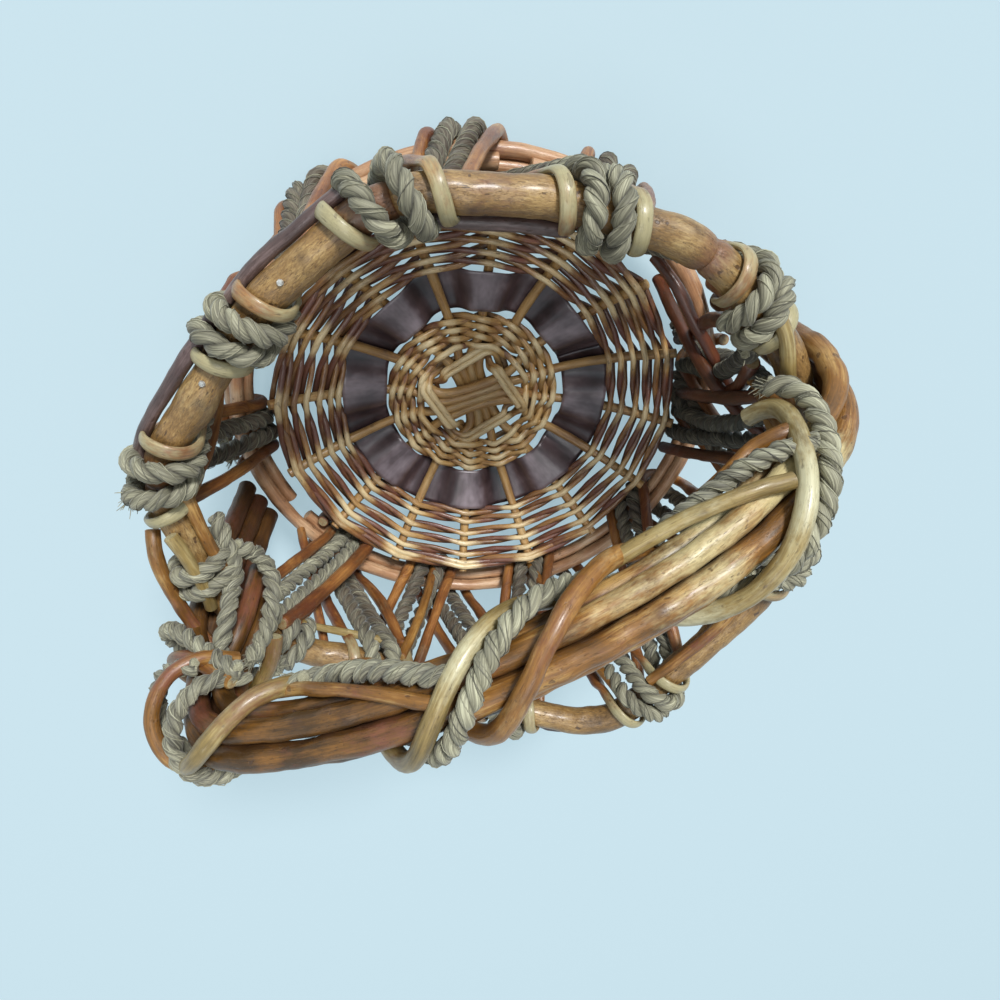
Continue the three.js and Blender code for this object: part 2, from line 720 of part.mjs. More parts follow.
function coreLine({ ring, out, side }) {
  const points = [];
  for (let k = 0; k <= CORE_STEPS; k += 1) {
    const t = k / CORE_STEPS;
    const { centre, across, outward } = archFrame(t);
    const s = spread(t);
    const high = THREE.MathUtils.lerp(Math.sin(rad(ring)) * coreRing, out * footSpread, s);
    const wide = THREE.MathUtils.lerp(Math.cos(rad(ring)) * coreRing, side * footPitch, s);
    points.push(centre.addScaledVector(outward, high).addScaledVector(across, wide));
  }
  const tail = (sign) => {
    const y = side * footPitch;
    if (out > 0) return new THREE.Vector3(sign * wallFoot, y, HOOP_Z);
    const foot = feet[sign < 0 ? 0 : 1];
    return new THREE.Vector3(foot.x - sign * footSpread, y, foot.z - INNER_TAIL);
  };
  return [tail(-1), ...points, tail(1)];
}

// Strands in the order in which they follow one another round the bundle
const SPIRALS = [
  {
    name: "handle_pale_rod",
    start: 0,
    end: 1,
    gap: 0,
    diameter: SPIRAL_ROD_DIA,
    look: "paleRod",
  },
  {
    name: "handle_rope",
    start: ROPE_START,
    end: 1,
    gap: ROPE_GAP,
    diameter: SPIRAL_ROPE_DIA,
    look: "rope",
  },
  {
    name: "handle_orange_rod",
    start: ORANGE_START,
    end: ORANGE_END,
    gap: ORANGE_GAP,
    diameter: SPIRAL_ROD_DIA,
    look: "orangeRod",
  },
];

function turnsAt(share) {
  const last = CROSSINGS.length - 2;
  let i = CROSSINGS.findIndex((c, k) => k <= last && share <= CROSSINGS[k + 1].share);
  if (i < 0) i = last;
  const from = CROSSINGS[i];
  const to = CROSSINGS[i + 1];
  const t = (share - from.share) / (to.share - from.share);
  return from.turns + (to.turns - from.turns) * t;
}

// The turns as the mean over a short stretch, so that the pitch changes gently
function easedTurns(share) {
  const reach = 0.08;
  const samples = 8;
  let sum = 0;
  for (let k = 0; k <= samples; k += 1) {
    sum += turnsAt(share + reach * ((2 * k) / samples - 1));
  }
  return sum / (samples + 1);
}

// The shares of the arch where a strand's points lie
function spiralShares() {
  const from = SPIRAL_END / arch.getLength();
  return Array.from({ length: SPIRAL_STEPS + 1 }, (_, k) => {
    return from + ((1 - 2 * from) * k) / SPIRAL_STEPS;
  });
}

function spiralPoint(share, angle, diameter) {
  const { centre, across, outward } = archFrame(share);
  const s = spread(share);
  const room = (CORE_ROD_DIA + diameter) / 2 + SPIRAL_ROOM + CORNER_SHARE * CORE_ROD_DIA * s;
  const high = THREE.MathUtils.lerp(coreRing, footSpread, s) + room;
  const wide = THREE.MathUtils.lerp(coreRing, footPitch, s) + room;
  centre.addScaledVector(outward, Math.sin(angle) * high);
  return centre.addScaledVector(across, Math.cos(angle) * wide);
}

function nearestOn(line, point) {
  let least = Infinity;
  for (let i = 0; i < line.length - 1; i += 1) {
    const nearest = new THREE.Vector3();
    new THREE.Line3(line[i], line[i + 1]).closestPointToPoint(point, true, nearest);
    least = Math.min(least, nearest.distanceTo(point));
  }
  return least;
}

// The first strand by its crossings, and each other turned on until it is clear of the last one
function spiralLines() {
  const turnOn = rad(1);
  const lines = [];
  let angles = [];
  SPIRALS.forEach(({ gap, diameter }, i) => {
    const line = [];
    const need = i ? (SPIRALS[i - 1].diameter + diameter) / 2 + gap : 0;
    const found = [];
    spiralShares().forEach((share, k) => {
      let angle = i ? angles[k] : rad(SPIRAL_FACE - 360 * easedTurns(share));
      let point = spiralPoint(share, angle, diameter);
      while (i && nearestOn(lines[i - 1], point) < need) {
        angle += turnOn;
        point = spiralPoint(share, angle, diameter);
      }
      found.push(angle);
      line.push(point);
    });
    lines.push(line);
    angles = found;
  });
  return lines;
}

function makeHandle() {
  const group = new THREE.Group();
  CORE_RODS.forEach((spec, i) => {
    const line = coreLine(spec);
    group.add(piece(`handle_rod_${i + 1}`, tube(line, CORE_ROD_DIA), finish.core));
  });
  const shares = spiralShares();
  const lines = spiralLines();
  SPIRALS.forEach(({ name, start, end, diameter, look }, i) => {
    const line = lines[i].filter((_, k) => shares[k] >= start && shares[k] <= end);
    group.add(winding(name, line, diameter, finish[look]));
  });
  return group;
}

const basket = new THREE.Group();
basket.add(makeBase());
basket.add(makeHoop());
basket.add(makeRim());
basket.add(makeLacing());
basket.add(makeLashings());
basket.add(makeHandle());

// The rim is uneven, so the middle of the whole basket lies beside the middle of its base
const middle = new THREE.Box3().setFromObject(basket).getCenter(new THREE.Vector3());
basket.position.set(-middle.x, -middle.y, 0);

export default basket;
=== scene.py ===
import bpy
import numpy as np
from mathutils import Matrix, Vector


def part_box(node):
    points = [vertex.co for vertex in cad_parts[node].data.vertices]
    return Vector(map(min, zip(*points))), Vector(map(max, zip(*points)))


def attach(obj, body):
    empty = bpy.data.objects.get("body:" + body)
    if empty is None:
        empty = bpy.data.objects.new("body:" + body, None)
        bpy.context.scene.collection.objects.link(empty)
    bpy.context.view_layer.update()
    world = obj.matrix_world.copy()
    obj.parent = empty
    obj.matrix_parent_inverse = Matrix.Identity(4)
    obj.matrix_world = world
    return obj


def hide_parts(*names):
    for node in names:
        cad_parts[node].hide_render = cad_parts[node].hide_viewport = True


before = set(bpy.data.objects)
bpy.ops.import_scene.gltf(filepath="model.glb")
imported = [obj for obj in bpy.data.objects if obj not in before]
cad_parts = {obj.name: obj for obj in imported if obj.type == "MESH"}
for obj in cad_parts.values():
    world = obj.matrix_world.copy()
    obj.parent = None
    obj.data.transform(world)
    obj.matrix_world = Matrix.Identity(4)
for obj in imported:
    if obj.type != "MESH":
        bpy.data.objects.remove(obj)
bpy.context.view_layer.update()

# The looks of a vine basket with an arched handle. Sizes are in millimetres, and a mesh turns
# to metres when it is built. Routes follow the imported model, whose base lies off its middle.
MM = 0.001
UP = np.array([0.0, 0.0, 1.0])
low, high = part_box("outer_weave")
BASE_MIDDLE = np.array([low.x + high.x, low.y + high.y, 0.0]) / 2 / MM

# Woven base
STAKE_COUNT = 16
STAKE_STEP = 360 / STAKE_COUNT
STAKE_TURN = -7
STAKE_DIA = 4.7
CROSS_TURN = -9
CROSS_PITCH = 5.4
CROSS_REACH = 19
CROSS_LIFT = 2.55
FAN_RADIUS = 36
INNER_WEAVE_OUT = 48.5
RIBBON_OUT = 71.5
WEAVE_EDGE = 105
WEAVE_THICK = 10.4
DISH_FLAT = 42
DISH_RISE = 24.4
DISH_POWER = 1.6
WEAVER_DIA = 2.8
INNER_WEAVER_DIA = 3.35
TWINE_STEP = 1.2
TWINE_CORNER = 1.7
TWINE_LEAN = 1.45
CROSS_STATIONS = 8
PAIR_STATIONS = 9
INNER_STATIONS = 46
OUTER_STATIONS = 105
RIBBON_THICK = 0.9

# Hoop
HOOP_ROD_DIA = 6.6
HOOP_Z = 20
HOOP_OFFSET = 4.243
HOOP_REACH = HOOP_OFFSET + HOOP_ROD_DIA / 2
HOOP_RADIUS = 122.05
HOOP_OPENING = 7
HOOP_STARTS = [58, 187, 305]

# Rim: [azimuth, out from the hoop's middle, above RIM_HEIGHT]
BRANCH_DIA = 13.7
RIM_HEIGHT = 116
RIM_BENDS = [
    (8, 12, 1), (31, 11, 0), (56, 7, 0), (81, 13, 0), (109, 3, -1), (146, 17, -2), (176, 9, -6),
    (197, 11, -13), (219, -4, -14), (238, 3, -6), (269, 26, 11), (290, 13, 8), (313, 18, 5),
    (340, 19, 3),
]
RIM_EASE = 7
BRANCH_INSET = 0.25
BRANCH_JOINTS = [0, 31, 81, 147, 180, 218, 281, 322, 360]

# Side lacing: strands side by side over the rim and under the hoop
SIDE_ROD_DIA = 6.4
ROPE_DIA = 8.4
FIT = 0.35
WRAP_SLACK = 1.08
FLAT_SLACK = 0.84
WRAP_LEAN = 12
LACE_BOW = 5
NEAR_WALL = [19, 34.5, 50, 66, 81.5, 97, 113, 129, 145.5, 161.5]
FAR_WALL = [203, 218, 233.5, 249, 265, 281, 301.5, 322, 341]
STRANDS = [  # name, diameter, bow
    ("side_rod_lower", SIDE_ROD_DIA, LACE_BOW),
    ("side_rope_lower", ROPE_DIA, 0),
    ("side_rope_upper", ROPE_DIA, 0),
    ("side_rod_upper", SIDE_ROD_DIA, -LACE_BOW),
]
OVER_RIM = (188, -21)
UNDER_HOOP = (-201, 7)
LASH_ROPE_DIA = 8
LASHINGS = [(180, -1), (180, 1), (360, -1)]
LASH_LOOPS = 2
LOOP_POINTS = 12
LASH_ROOM = 0.6
LASH_GAP = 0.8

# Handle: [share of the way to the foot, share of ARCH_HEIGHT above RIM_HEIGHT]
CORE_DIA = 9.2
CORE_GAP = 1
FOOT_GAP = 0.65
INNER_TAIL = 15
ARCH_HEIGHT = 82
ARCH = [
    (-1.054, 0.29), (-1.031, 0.54), (-0.938, 0.76), (-0.754, 0.89), (-0.462, 0.98),
    (-0.092, 1), (0.286, 0.93), (0.617, 0.76), (0.842, 0.52), (0.962, 0.32),
]
ARCH_LEAN = 7
LEAN_HEIGHT = 35
SPREAD_START = 34
SPREAD_END = 9
CORE_RODS = [  # place in the ring, out and across at the foot, thickness, paleness
    (90, 1, 0, 1.12, 0.35), (18, 1, 1, 1.0, 0.7), (162, 1, -1, 1.1, 0.5),
    (-54, -1, 0.5, 0.92, 0.6), (-126, -1, -0.5, 0.96, 0.4),
]
SPIRAL_END = 17
SPIRAL_FACE = 45
CROSSINGS = [(0, -0.75), (0.23, 0), (0.46, 1), (0.845, 2), (1, 2.45)]
TURN_EASE = 0.08
SPIRAL_ROOM = 1.1
CORNER_SHARE = 0.44
SPIRALS = [  # name, gap to the last one, diameter, shares of the arch where it starts and ends
    ("handle_pale_rod", 0, 7.4, 0, 1),
    ("handle_rope", 0.8, 8.4, 0.3, 1),
    ("handle_orange_rod", 7, 7.4, 0.365, 0.74),
]
SPIRAL_STEPS = 54

# Strands: steps along them, sides, and bumps, [round the strand, wavelength]
ROD_STEP = 1.6
LONG_ROD_STEP = 1.8
ROPE_STEP = 1.15
WOUND_STEP = 1.1
PLY_SIDES = 20
CORE_SIDES = 30
ROPE_LAY = 1.75
BUMPS = [(1, 23), (2, 41), (2, 13), (3, 9), (5, 6)]
GRAIN_SHIFT = 37.3
CUT_TONE = np.array([0.05, 0, 0.55])

# Curves and frames


def unit(v):
    return v / np.maximum(np.linalg.norm(v, axis=-1, keepdims=True), 1e-9)


def stacked(*parts):
    return np.stack(np.broadcast_arrays(*parts), -1).astype(float)


def polar(azimuth, radius, z):
    a = np.radians(azimuth)
    return stacked(radius * np.cos(a), radius * np.sin(a), z)


def smooth(t):
    s = np.clip(t, 0, 1)
    return s * s * (3 - 2 * s)


def lengths(path):
    """The distance along a polyline at each of its points."""
    return np.concatenate([[0], np.cumsum(np.linalg.norm(np.diff(path, axis=0), axis=1))])


def looked_up(at, places, rows, **options):
    """The rows of a table, between the places that they are for."""
    return np.stack([np.interp(at, places, column, **options) for column in rows.T], -1)


def eased(function, at, ease):
    """The mean of the function from `ease` before to `ease` after."""
    return sum(function(at + ease * (k / 4 - 1)) for k in range(9)) / 9


def respace(rows, step):
    """Rows (position, then anything that goes with it) at even distances along a polyline."""
    reach = lengths(rows[:, :3])
    count = max(3, int(round(reach[-1] / step)) + 1)
    return looked_up(np.linspace(0, reach[-1], count), reach, rows)


def curve(rows, step):
    """The smooth curve through the rows, at even distances."""
    p = np.asarray(rows, float)
    p = np.vstack([2 * p[0] - p[1], p, 2 * p[-1] - p[-2]])
    gaps = np.linalg.norm(np.diff(p[:, :3], axis=0), axis=1)
    t = np.concatenate([[0], np.cumsum(np.sqrt(np.maximum(gaps, 1e-6)))])
    parts = []
    for i in range(1, len(p) - 2):
        count = max(3, int(gaps[i] / step * 2) + 1)
        u = np.linspace(t[i], t[i + 1], count, endpoint=i == len(p) - 3)[:, None]

        def between(a, b, ta, tb):
            return ((tb - u) * a + (u - ta) * b) / (tb - ta)

        a = [between(p[i + k], p[i + k + 1], t[i + k], t[i + k + 1]) for k in (-1, 0, 1)]
        b = [between(a[k], a[k + 1], t[i + k - 1], t[i + k + 1]) for k in (0, 1)]
        parts.append(between(b[0], b[1], t[i], t[i + 1]))
    return respace(np.vstack(parts), step)


def rounded(rows, step, corner):
    """A polyline at even distances, with its corners rounded over `corner`."""
    fine = respace(np.asarray(rows, float), step / 2)
    width = max(1, int(corner / step * 2))
    for _ in range(2):
        padded = np.pad(fine, ((width, width), (0, 0)), "edge")
        total = np.cumsum(np.vstack([np.zeros((1, fine.shape[1])), padded]), axis=0)
        fine = (total[2 * width + 1 :] - total[: -2 * width - 1]) / (2 * width + 1)
    return respace(fine, step)


def tangents(path):
    return unit(np.gradient(path, axis=0))


def carried_normals(path):
    """A side direction for each point that doesn't turn round the path."""
    along = tangents(path)
    side = np.cross(along[0], (0.31, 0.17, 0.93))
    out = []
    for direction in along:
        side = side - direction * np.dot(side, direction)
        side = side / np.linalg.norm(side)
        out.append(side)
    return np.array(out)


def wave(s, wavelength, seed):
    """A smooth random wave between about -1 and 1."""
    rng = np.random.default_rng(seed)
    total = np.zeros_like(np.asarray(s, float))
    for share in (1, 0.62, 0.37):
        total += share * np.sin(2 * np.pi * s / (wavelength * share) + rng.uniform(0, 7))
    return total / 1.6


# Meshes


def add_object(name, data):
    thing = bpy.data.objects.new(name, data)
    bpy.context.scene.collection.objects.link(thing)
    return thing


class Piece:
    """Gathers swept strands into one mesh."""

    def __init__(self, name):
        self.name = name
        self.faces, self.layers = [], ([], [], [], [])
        self.count = 0

    def add(self, faces, *layers):
        """faces: rows of corners. layers: points, grain, tone and dark, a row for each point."""
        self.faces += [face + self.count for face in faces]
        for kept, layer in zip(self.layers, layers):
            kept.append(layer)
        self.count += len(layers[0])

    def build(self, look, *nodes):
        """Makes the object. look: a key of LOOKS. nodes: what it stands for in the model."""
        slot, material = LOOKS[look]
        mesh = bpy.data.meshes.new(self.name)
        points, *values = (np.concatenate(rows) for rows in self.layers)
        corners = np.concatenate([face.ravel() for face in self.faces])
        sizes = np.concatenate([np.full(len(face), face.shape[1]) for face in self.faces])
        starts = np.concatenate([[0], np.cumsum(sizes)[:-1]])
        mesh.vertices.add(len(points))
        mesh.vertices.foreach_set("co", ((points + BASE_MIDDLE) * MM).astype(np.float32).ravel())
        mesh.loops.add(len(corners))
        mesh.loops.foreach_set("vertex_index", corners.astype(np.int32))
        mesh.polygons.add(len(sizes))
        mesh.polygons.foreach_set("loop_start", starts.astype(np.int32))
        mesh.polygons.foreach_set("use_smooth", np.ones(len(sizes), bool))
        # The dark layer holds painted shade for crevices, grooves and crossings, and the darkness
        # of knots.
        kinds = [("grain", "FLOAT_VECTOR"), ("tone", "FLOAT_VECTOR"), ("dark", "FLOAT")]
        for (name, kind), rows in zip(kinds, values):
            key = "vector" if kind == "FLOAT_VECTOR" else "value"
            layer = mesh.attributes.new(name, kind, "POINT")
            layer.data.foreach_set(key, rows.astype(np.float32).ravel())
        mesh.update(calc_edges=True)
        mesh.validate()
        mesh.materials.append(material)
        thing = add_object(self.name, mesh)
        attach(thing, "root")
        if nodes:
            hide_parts(*nodes)


def column(value, count):
    return np.broadcast_to(np.asarray(value, float).reshape(-1, 1), (count, 1))


def ring_faces(count, sides):
    """The quads between one ring of corners and the next."""
    a = np.arange((count - 1) * sides).reshape(count - 1, sides)
    b = np.roll(a, -1, axis=1)
    return [np.stack([a, b, b + sides, a + sides], -1).reshape(-1, 4)]


def facing(path, sides, directions):
    """How far each side of a strand faces the direction at its point: 1 for straight at it."""
    normal = carried_normals(path)[:, None]
    across = np.cross(tangents(path)[:, None], normal)
    angle = np.linspace(0, 2 * np.pi, sides, endpoint=False)[:, None]
    outward = np.cos(angle) * normal + np.sin(angle) * across
    return np.sum(outward * directions[:, None], -1)


def sweep(piece, path, radius, sides, seed, tone, **look):
    """Adds a strand to the piece.

    radius: one value or one for each point. tone: brightness, redness and paleness, each one
    value or one for each point. look may hold: normals, with wide and thick as shares of the
    radius across and along them; lumps, the height of the random bumps; lobes, [(count,
    height)], and twist, in radians for each point, for fibres; knots, [(share, angle,
    height)], which also darken the strand; dark, painted shade for each point and side, for
    crevices, grooves and crossings; end, the rounding of the ends as a share of the radius.
    """
    count = len(path)
    radius = column(radius, count)
    reach = lengths(path)[:, None]
    along = tangents(path)
    normal = look.get("normals")
    if normal is None:
        normal = carried_normals(path)
    normal = unit(normal - along * np.sum(normal * along, 1, keepdims=True))
    across = np.cross(along, normal)
    angle = np.linspace(0, 2 * np.pi, sides, endpoint=False)[None, :]
    rng = np.random.default_rng(seed)
    size = radius * np.ones((1, sides))
    for turns, wavelength in BUMPS:
        phase = rng.uniform(0, 7, 2)
        ripple = np.cos(turns * angle + phase[0] + 2 * np.pi * reach / wavelength)
        swell = np.sin(2 * np.pi * reach / (wavelength * 2.3) + phase[1])
        size = size + radius * look.get("lumps", 0.03) / turns * ripple * (0.6 + 0.4 * swell)
    turn = column(look.get("twist", 0), count)
    for lobes, height in look.get("lobes", []):
        size = size + height * (np.abs(np.cos(lobes / 2 * (angle + turn))) - 0.6)
    dark = look.get("dark", np.zeros((count, sides)))
    for share, place, height in look.get("knots", []):
        away = (reach - share * reach[-1]) / (1.1 * radius)
        around = np.angle(np.exp(1j * (angle - place)))
        size = size + height * np.exp(-(away**2) * 2 - around**2 * 1.6)
        dark = dark + 0.75 * np.exp(-(away**2) * 9 - around**2 * 9)
    x = np.cos(angle) * size * column(look.get("thick", 1), count)
    y = np.sin(angle) * size * column(look.get("wide", 1), count)
    ring = path[:, None] + normal[:, None] * x[..., None] + across[:, None] * y[..., None]
    start = GRAIN_SHIFT * (seed % 997)
    grain = stacked(np.cos(angle + turn) * radius, np.sin(angle + turn) * radius, reach + start)
    tone = stacked(*(column(t, count) + np.zeros((1, sides)) for t in tone))
    piece.add(
        ring_faces(count, sides), ring.reshape(-1, 3), grain.reshape(-1, 3),
        tone.reshape(-1, 3), dark.ravel(),
    )
    # Each end has a rounded edge and a pale cut face
    k = np.arange(sides)
    n = np.roll(k, -1)
    edge_faces = np.stack([k, k + sides, n + sides, n], -1)
    cut_faces = np.stack([k + 2 * sides, np.full(sides, 3 * sides), n + 2 * sides], -1)
    for index, way in ((0, -1), (-1, 1)):
        outward = along[index] * way * look.get("end", 0.12) * radius[index]
        inner = path[index] + (ring[index] - path[index]) * 0.82 + outward
        tip = path[index] + outward * 1.25
        cut = tone[index] * 0.3 + CUT_TONE
        piece.add(
            [faces[:, ::-way] for faces in (edge_faces, cut_faces)],
            np.vstack([ring[index], inner, inner, tip]),
            np.vstack([grain[index]] * 3 + [grain[index].mean(0)]),
            np.vstack([tone[index], tone[index], cut, cut[0]]),
            np.zeros(3 * sides + 1),
        )


def rod(name, look, path, size, sides, seed, tone, *nodes, **shape):
    """A piece of one woody strand."""
    piece = Piece(name)
    sweep(piece, path, size, sides, seed, tone, **shape)
    piece.build(look, *nodes)


def rope(name, path, diameter, hand, seed, tone, *nodes, frayed=False):
    """A piece of two twisted plies, each with fine fibres."""
    piece = Piece(name)
    along = tangents(path)
    normal = carried_normals(path)
    across = np.cross(along, normal)
    reach = lengths(path)
    slide = 0.5 * wave(reach, 60, seed + 3)
    for ply in range(2):
        phase = hand * (2 * np.pi * reach / (ROPE_LAY * diameter) + slide) + np.pi * ply
        out = np.cos(phase)[:, None] * normal + np.sin(phase)[:, None] * across
        centre = path + out * diameter * 0.2
        size = diameter * (0.295 + 0.014 * wave(reach, 19, seed + 11 * ply))
        shade = tone[0] + 0.35 * wave(reach, 26, seed + 5 + ply)
        # Each ply gets painted shade where it faces the other, in the groove between them.
        sweep(
            piece, centre, size, PLY_SIDES, seed + 31 * ply, (shade, tone[1], tone[2]),
            lobes=[(5, 0.07), (8, 0.06)], twist=0.3 * wave(reach, 33, seed + ply),
            dark=smooth((0.42 - facing(centre, PLY_SIDES, out)) / 0.95), end=0.35,
        )
        rng = np.random.default_rng(seed + 5 + ply)
        for fibre in range(2):
            drift = rng.uniform(-0.7, 0.7) + 0.9 * wave(reach, 45, seed + 60 + 7 * fibre + ply)
            around = np.cos(drift)[:, None] * out
            around = around + np.sin(drift)[:, None] * np.cross(tangents(centre), out)
            lift = size + 0.12 + 0.3 * np.maximum(0, wave(reach, 14, seed + 90 + fibre))
            fibre_tone = (tone[0] + rng.uniform(-0.9, 0.4), 0, rng.uniform(0, 0.5))
            fibre_path = centre + around * lift[:, None]
            sweep(piece, fibre_path, 0.22, 4, seed + 70 + fibre, fibre_tone, lumps=0)
    if frayed:
        fray(piece, path[-1], along[-1], diameter, seed)
    piece.build("rope", *nodes)


def fray(piece, place, direction, diameter, seed):
    """Loose fibres where a rope was cut."""
    rng = np.random.default_rng(seed)
    for i in range(24):
        away = unit(direction + rng.normal(0, 0.36, 3))
        start = place - direction * 2 + rng.normal(0, diameter * 0.17, 3)
        length = rng.uniform(3, 7)
        bend = rng.normal(0, 1.6, 3)
        points = [start, start + away * length * 0.5 + bend * 0.4, start + away * length + bend]
        path = curve(points, 1.2)
        size = np.linspace(0.34, 0.12, len(path))
        sweep(piece, path, size, 5, seed + i, (rng.uniform(-0.1, 0.5), 0, 0.2))


def woody(reach, seed, red, pale, bright=0):
    """Brightness, redness and paleness that change along a rod."""
    return (
        bright + 0.28 * wave(reach, 70, seed + 1),
        np.clip(red + 0.4 * wave(reach, 110, seed + 2), 0, 1),
        np.clip(pale + 0.3 * wave(reach, 85, seed + 5), 0, 1),
    )


def knots_for(reach, every, height, seed):
    """Knots at random places, about `every` apart."""
    rng = np.random.default_rng(seed + 77)
    count = int(reach[-1] / every + rng.uniform(0, 1))
    return [(rng.uniform(0.05, 0.95), rng.uniform(0, 6.28), height) for _ in range(count)]


# Base


def dish_z(radius):
    t = np.maximum(0, (radius - DISH_FLAT) / (WEAVE_EDGE - DISH_FLAT))
    return WEAVE_THICK / 2 + DISH_RISE * t**DISH_POWER


def on_dish(azimuth, radius, lift):
    """A point this far over the middle surface of the dish."""
    slope = dish_z(radius + 0.5) - dish_z(radius - 0.5)
    size = np.hypot(1, slope)
    return polar(azimuth, radius - lift * slope / size, dish_z(radius) + lift / size)


def stake_line(index):
    upper = index < 4
    place = index % 4
    lift = CROSS_LIFT if upper else -CROSS_LIFT
    heading = CROSS_TURN + (0 if upper else 90)
    first = STAKE_TURN - 2 * STAKE_STEP + (0 if upper else 90)
    side_step = (place - 1.5) * CROSS_PITCH
    radii = np.array([FAN_RADIUS, INNER_WEAVE_OUT, 60, RIBBON_OUT, 80, 92, WEAVE_EDGE + 0.6])
    halves = []
    for azimuth, reach in (
        (first + place * STAKE_STEP, CROSS_REACH),
        (first + 180 + (3 - place) * STAKE_STEP, -CROSS_REACH),
    ):
        shoulder = polar(heading, reach, dish_z(0) + lift) + polar(heading + 90, side_step, 0)
        halves.append(np.vstack([shoulder, polar(azimuth, radii, dish_z(radii))]))
    return np.vstack([halves[1][::-1], halves[0]])


def make_stakes():
    for index in range(STAKE_COUNT // 2):
        path = curve(stake_line(index), ROD_STEP)
        reach = lengths(path)
        from_middle = np.hypot(path[:, 0], path[:, 1])
        thicker = 0.07 * smooth((26 - from_middle) / 6)
        size = STAKE_DIA / 2 * (1.06 + thicker + 0.05 * wave(reach, 50, index))
        path[:, 2] += 0.85 * smooth((34 - from_middle) / 8)
        tone = woody(reach, 40 + index, red=0.1, pale=0.2, bright=0.75)
        rod(
            f"stake_{index + 1}", "stake", path, size, 16, 40 + index, tone,
            f"base_rod_{index + 1}", lumps=0.035, knots=knots_for(reach, 60, 0.25, index),
        )


def stake_table():
    """For each stake, numbered round the base from STAKE_TURN: radius, azimuth and lift."""
    table = {}
    for index in range(STAKE_COUNT // 2):
        line = curve(stake_line(index), 1.0)
        middle = np.argmin(np.hypot(line[:, 0], line[:, 1]))
        for half in (line[middle:], line[middle::-1]):
            radius = np.hypot(half[:, 0], half[:, 1])
            azimuth = np.degrees(np.unwrap(np.arctan2(half[:, 1], half[:, 0])))
            number = int(round((azimuth[-1] - STAKE_TURN) / STAKE_STEP)) % STAKE_COUNT
            azimuth = azimuth - azimuth[-1] + STAKE_TURN + STAKE_STEP * number
            table[number] = (radius, azimuth, half[:, 2] - dish_z(radius))
    return table


STAKES = stake_table()


def stake_at(number, radius):
    turns, place = divmod(number, STAKE_COUNT)
    radii, azimuths, lifts = STAKES[place]
    return np.interp(radius, radii, azimuths) + 360 * turns, np.interp(radius, radii, lifts)


def twined(stations):
    """The two strands that twine from station to station.

    Each station is (azimuth, radius, middle, half height, reach, slant, lean): one strand goes
    over the rods there and the other under them, straight for `reach` to each side. The rows
    hold a point, then 1 over the rods to -1 under them, then the thickness.
    """
    low_limit = -WEAVE_THICK / 2 + 1.7
    strands = []
    for first in (1, -1):
        rows = []
        for k, (azimuth, radius, middle, half, reach, slant, lean) in enumerate(stations):
            way = first if k % 2 == 0 else -first
            height = middle + way * half
            thick = 0.4 if height < low_limit - 0.6 else 0.86
            here = []
            for side in (-reach, 0, reach) if reach else (0,):
                out = radius - slant * side if way > 0 else radius - 0.14 * abs(slant) * reach
                turned = azimuth + np.degrees(np.arctan2(side, out))
                place = on_dish(turned, np.hypot(out, side), max(height, low_limit))
                here.append([*place, way, thick])
            here = np.array(here)
            if rows:
                between = (rows[-1][-1] + here[0]) / 2
                flat = np.hypot(between[0], between[1])
                between[:2] *= (flat - lean * way) / flat
                between[3] = 0
                rows.append(between[None])
            rows.append(here)
        strands.append(rounded(np.vstack(rows), TWINE_STEP, TWINE_CORNER))
    return strands


def weave(name, node, stations, seed, dia, red, pale, bright):
    """A woven ring: the two strands that twine through the stations."""
    piece = Piece(name)
    for k, rows in enumerate(twined(stations)):
        path, crest, thick = rows[:, :3], rows[:, 3], rows[:, 4]
        reach = lengths(path)
        own = seed + 9 * k
        size = dia / 2 * (1 + 0.09 * wave(reach, 130, own) + 0.04 * wave(reach, 21, own))
        # Painted highlight: strands are paler and brighter on their crests, where they cross over
        # the stakes. They are also redder away from the crests.
        over = smooth(crest * 1.5 - 0.35)
        redness = red + 0.5 * wave(reach, 260, own + 2) + 0.35 * (1 - over) - 0.3 * over
        paleness = pale + 0.35 * wave(reach, 170, own + 5) + 0.7 * over - 0.35
        tone = (
            bright + 0.35 * wave(reach, 120, own + 1) + 0.6 * over - 0.25,
            np.clip(redness, 0, 1),
            np.clip(paleness, 0, 1),
        )
        # Painted shade: the dark layer darkens each strand where it dips under the others.
        dark = (0.62 * (1 - smooth(crest + 0.8)))[:, None] * np.ones((1, 10))
        up = np.broadcast_to(UP, path.shape)
        sweep(piece, path, size, 10, own, tone, lumps=0.05, normals=up, thick=thick, dark=dark)
    piece.build("wicker", node)


def make_inner_weave():
    rng = np.random.default_rng(5)
    half = STAKE_DIA / 2 + INNER_WEAVER_DIA / 2 - 0.1
    stations = []
    # Round the cross, then round pairs of stakes, then round single ones
    for k in range(CROSS_STATIONS):
        lift = CROSS_LIFT if k % 2 == 0 else -CROSS_LIFT
        radius = 17.4 + 0.88 * k + rng.uniform(-0.3, 0.3)
        stations.append((CROSS_TURN + 90 * k, radius, lift, half, 12.5, 0.3, -2.9))
    for k in range(PAIR_STATIONS):
        radius = 27.6 + 0.6 * k + rng.uniform(-0.3, 0.3)
        (a, lift_a), (b, lift_b) = (stake_at(30 + 2 * k + n, radius) for n in (0, 1))
        wide = np.radians(b - a) * radius / 2
        stations.append(((a + b) / 2, radius, (lift_a + lift_b) / 2, half, wide * 0.9, 0.1, 0.9))
    for k in range(INNER_STATIONS):
        radius = np.interp(k, (0, 16, 32, 45), (33.6, 38.6, 43.4, 47)) + rng.uniform(-0.3, 0.3)
        azimuth, lift = stake_at(48 + k, radius)
        stations.append((azimuth, radius, lift, half, 0, 0, TWINE_LEAN))
    weave("inner_weave_rods", "inner_weave", stations, 310, INNER_WEAVER_DIA, 0.05, 0.4, 0.8)


